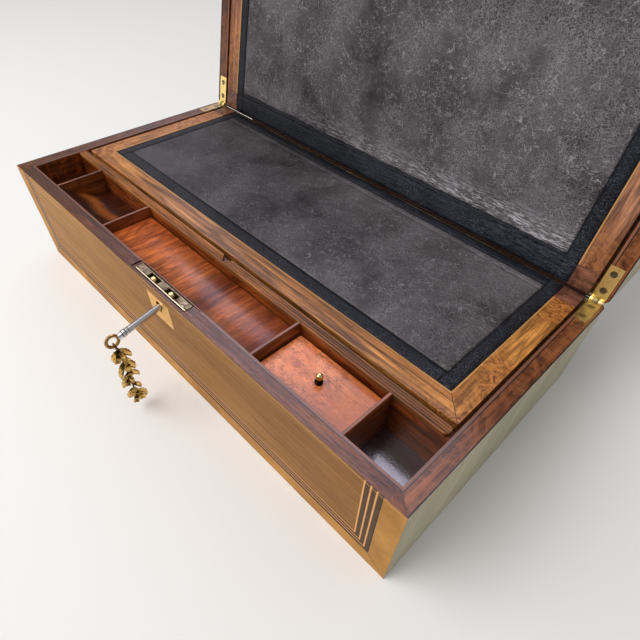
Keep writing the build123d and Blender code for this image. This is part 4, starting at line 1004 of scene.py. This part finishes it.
# Fob: a gilt pendant stamped as a spray of cupped leaves and blossoms on a thin stem, hung from the
# bow on a jump ring. Its hollows towards the middle of the spray are painted dark as shade.
FOB_TOP = Vector((0.002735, -0.159382, 0.0))
FOB_WAY = Vector((0.223, 0.975, 0.0)).normalized()
FOB_FACE = Vector((0.975, -0.223, 0.0)).normalized()
BLOSSOMS = (
    ((-0.9, 27.2, 2.4), 3.4, 1.2, 6), ((3.2, 62.6, 2.2), 3.0, 1.0, 6), ((0.9, 45.4, 2.6), 2.6, 0.9, 5),
    ((-2.4, 66.0, 2.6), 2.8, 0.9, 5), ((2.6, 54.0, 3.4), 2.6, 1.0, 5), ((-2.4, 36.6, 2.6), 2.3, 0.9, 5),
    ((3.6, 15.6, 3.2), 2.9, 1.1, 6), ((-1.8, 13.8, 3.0), 2.5, 1.0, 5), ((-2.4, 22.2, 2.8), 2.4, 0.9, 5))
LEAVES = (
    ((0.9, 73.6, 0.0), (5.9, 72.0, 1.4), (8.0, 62.6, 0.2), 5.6, 1.4),
    ((0.8, 73.2, 0.3), (-5.0, 71.5, 1.6), (-3.2, 60.4, 0.6), 5.4, 1.3),
    ((1.0, 72.4, 1.4), (2.6, 67.5, 3.2), (2.6, 58.6, 1.2), 4.8, 1.2),
    ((1.0, 72.0, -1.4), (0.5, 66.0, -4.4), (1.2, 57.5, -2.6), 5.2, -1.2),
    ((1.2, 60.0, 0.2), (7.6, 57.2, 1.8), (6.6, 47.8, 0.4), 5.4, 1.4),
    ((0.8, 59.4, 0.6), (-3.6, 54.0, 1.8), (-5.2, 42.6, 0.8), 4.6, 1.2),
    ((1.2, 58.4, 1.2), (2.4, 53.0, 3.6), (1.4, 47.0, 1.8), 4.2, 1.1),
    ((1.2, 57.0, -1.6), (2.4, 50.0, -4.6), (1.6, 42.0, -2.2), 5.6, -1.3),
    ((0.9, 47.4, 0.2), (6.4, 46.4, 1.6), (8.0, 38.6, 0.2), 4.8, 1.3),
    ((0.7, 46.2, 0.8), (-4.2, 40.0, 1.6), (-6.6, 30.8, 0.4), 5.0, 1.3),
    ((0.8, 44.4, 1.4), (1.6, 39.0, 3.4), (0.6, 31.8, 1.6), 4.0, 1.0),
    ((0.7, 43.0, -1.4), (-0.5, 36.0, -4.2), (0.0, 29.0, -2.4), 5.2, -1.2),
    ((0.4, 32.2, 0.2), (5.2, 30.6, 1.4), (5.4, 23.6, 0.4), 4.4, 1.2),
    ((-0.2, 25.0, 0.4), (-5.4, 24.6, 1.6), (-5.4, 16.2, 0.4), 4.4, 1.2),
    ((0.4, 21.4, 0.4), (8.0, 22.2, 1.6), (7.2, 10.8, 0.4), 4.4, 1.2),
    ((0.4, 20.4, 1.2), (4.8, 17.6, 3.2), (3.4, 9.8, 1.4), 4.0, 1.1),
    ((0.2, 19.4, 0.8), (-1.2, 14.4, 2.6), (-1.6, 8.9, 1.0), 4.2, 1.1),
    ((0.2, 20.0, -1.2), (1.6, 15.0, -4.0), (0.6, 9.4, -2.2), 5.0, -1.2))
STEM = ((0.9, 66.0), (1.3, 56.0), (0.6, 46.0), (0.9, 36.0), (0.2, 26.0), (0.6, 17.0), (0.2, 11.0))


def fob_point(s, z, d=0.0):
    """A place on the fob in millimetres: s across it, z up from the table, d off its face."""
    return FOB_TOP + FOB_WAY * (s / 1000) + FOB_FACE * (d / 1000) + Vector((0.0, 0.0, z / 1000))


def fob_leaf(bm, root, middle, tip, width, cup, lobes=5, steps=14):
    """A cupped leaf along the curve root, middle, tip, its edge scalloped, its vein sunk."""
    leaf = bmesh.ops.create_grid(bm, x_segments=steps, y_segments=8, size=0.5)["verts"]
    for vertex in leaf:
        t, w = vertex.co.x + 0.5, vertex.co.y * 2
        place = [a * (1 - t) ** 2 + 2 * b * t * (1 - t) + c * t * t for a, b, c in zip(root, middle, tip)]
        run = [2 * (b - a) * (1 - t) + 2 * (c - b) * t for a, b, c in zip(root, middle, tip)]
        long = math.hypot(run[0], run[1]) or 1.0
        across = (-run[1] / long, run[0] / long)
        full = math.sin(math.pi * min(1.0, 0.06 + t * 0.94)) ** 0.7 * width / 2
        full *= 1 + 0.13 * math.cos(2 * math.pi * lobes * t)
        depth = cup * (1 - w * w) * math.sin(math.pi * t) + 0.35 * math.exp(-(w / 0.16) ** 2)
        vertex.co = fob_point(
            place[0] + across[0] * w * full, place[1] + across[1] * w * full,
            place[2] + depth + 0.25 * math.cos(4 * math.pi * w))


def fob_blossom(bm, middle, radius, depth, petals):
    """A small open flower: a cupped disc with petals round a raised eye."""
    bmesh.ops.create_circle(bm, cap_ends=True, cap_tris=True, radius=1.0, segments=petals * 6)
    spokes = [edge for edge in bm.edges if abs(edge.calc_length() - 1.0) < 0.05]
    bmesh.ops.subdivide_edges(bm, edges=spokes, cuts=5, use_grid_fill=True)
    for vertex in [v for v in bm.verts if v.co.length < 1.0001 and abs(v.co.z) < 1e-7]:
        r, a = vertex.co.length, math.atan2(vertex.co.y, vertex.co.x)
        reach = radius * r * (1 + 0.16 * r * math.cos(petals * a))
        lift = depth * (r ** 2) + 0.25 * math.cos(petals * a) * r + 0.7 * math.exp(-(r / 0.2) ** 2)
        vertex.co = fob_point(
            middle[0] + reach * math.cos(a), middle[1] + reach * math.sin(a), middle[2] + lift)


def fob_spray():
    """Blossoms and leaves stamped from thin sheet, on a stem drawn down through them."""
    bm = bmesh.new()
    for middle, radius, depth, petals in BLOSSOMS:
        fob_blossom(bm, middle, radius, depth, petals)
    for root, middle, tip, width, cup in LEAVES:
        fob_leaf(bm, root, middle, tip, width, cup)
    bmesh.ops.solidify(bm, geom=bm.faces[:], thickness=0.00035)
    ring = bmesh.ops.create_circle(bm, cap_ends=True, radius=0.0007, segments=10)["verts"]
    end = [face for face in bm.faces if all(vertex in ring for vertex in face.verts)]
    bmesh.ops.translate(bm, verts=ring, vec=fob_point(1.1, 75.6))
    for across, high in STEM:
        moved = bmesh.ops.extrude_face_region(bm, geom=end)["geom"]
        rim = [part for part in moved if isinstance(part, bmesh.types.BMVert)]
        here = sum((vertex.co for vertex in rim), Vector()) / len(rim)
        bmesh.ops.translate(bm, verts=rim, vec=fob_point(across, high) - here)
        bmesh.ops.delete(bm, geom=[face for face in end if face.is_valid], context="FACES_ONLY")
        end = [part for part in moved if isinstance(part, bmesh.types.BMFace)]
    bmesh.ops.remove_doubles(bm, verts=bm.verts[:], dist=1e-6)
    bmesh.ops.recalc_face_normals(bm, faces=bm.faces[:])
    return make_piece("fob_spray", bm, gilt, smooth=True)


def painted_hollow_shade(place, colour):
    """Painted shade: nearly black towards the middle of the spray, where the hollows are, plain gilt out at
    the leaf tips.
    """
    off = wire("ShaderNodeVectorMath", {"operation": "SUBTRACT"}, i0=place, i1=tuple(FOB_TOP))[0]
    reach = wire(
        "ShaderNodeVectorMath", {"operation": "LENGTH"}, i0=stretched(off, (1.0, 1.0, 0.0)))["Value"]
    depth = calc("MULTIPLY_ADD", minus(clouds(place, 330.0), 0.5), 0.011, reach)
    return blend(ramp(depth, 0.0052, 0.0022, 0.0, 0.92), colour, srgb(46, 24, 6))


gilt = metal(
    "gilt", srgb(240, 200, 118), srgb(132, 84, 30), 0.2, spots=0.8, bump=0.9, scale=380.0,
    overlay=painted_hollow_shade)
finish_with(gilt, "fob_ring")
spray = fob_spray()
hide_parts("fob_leaves")
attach(spray, "fob")
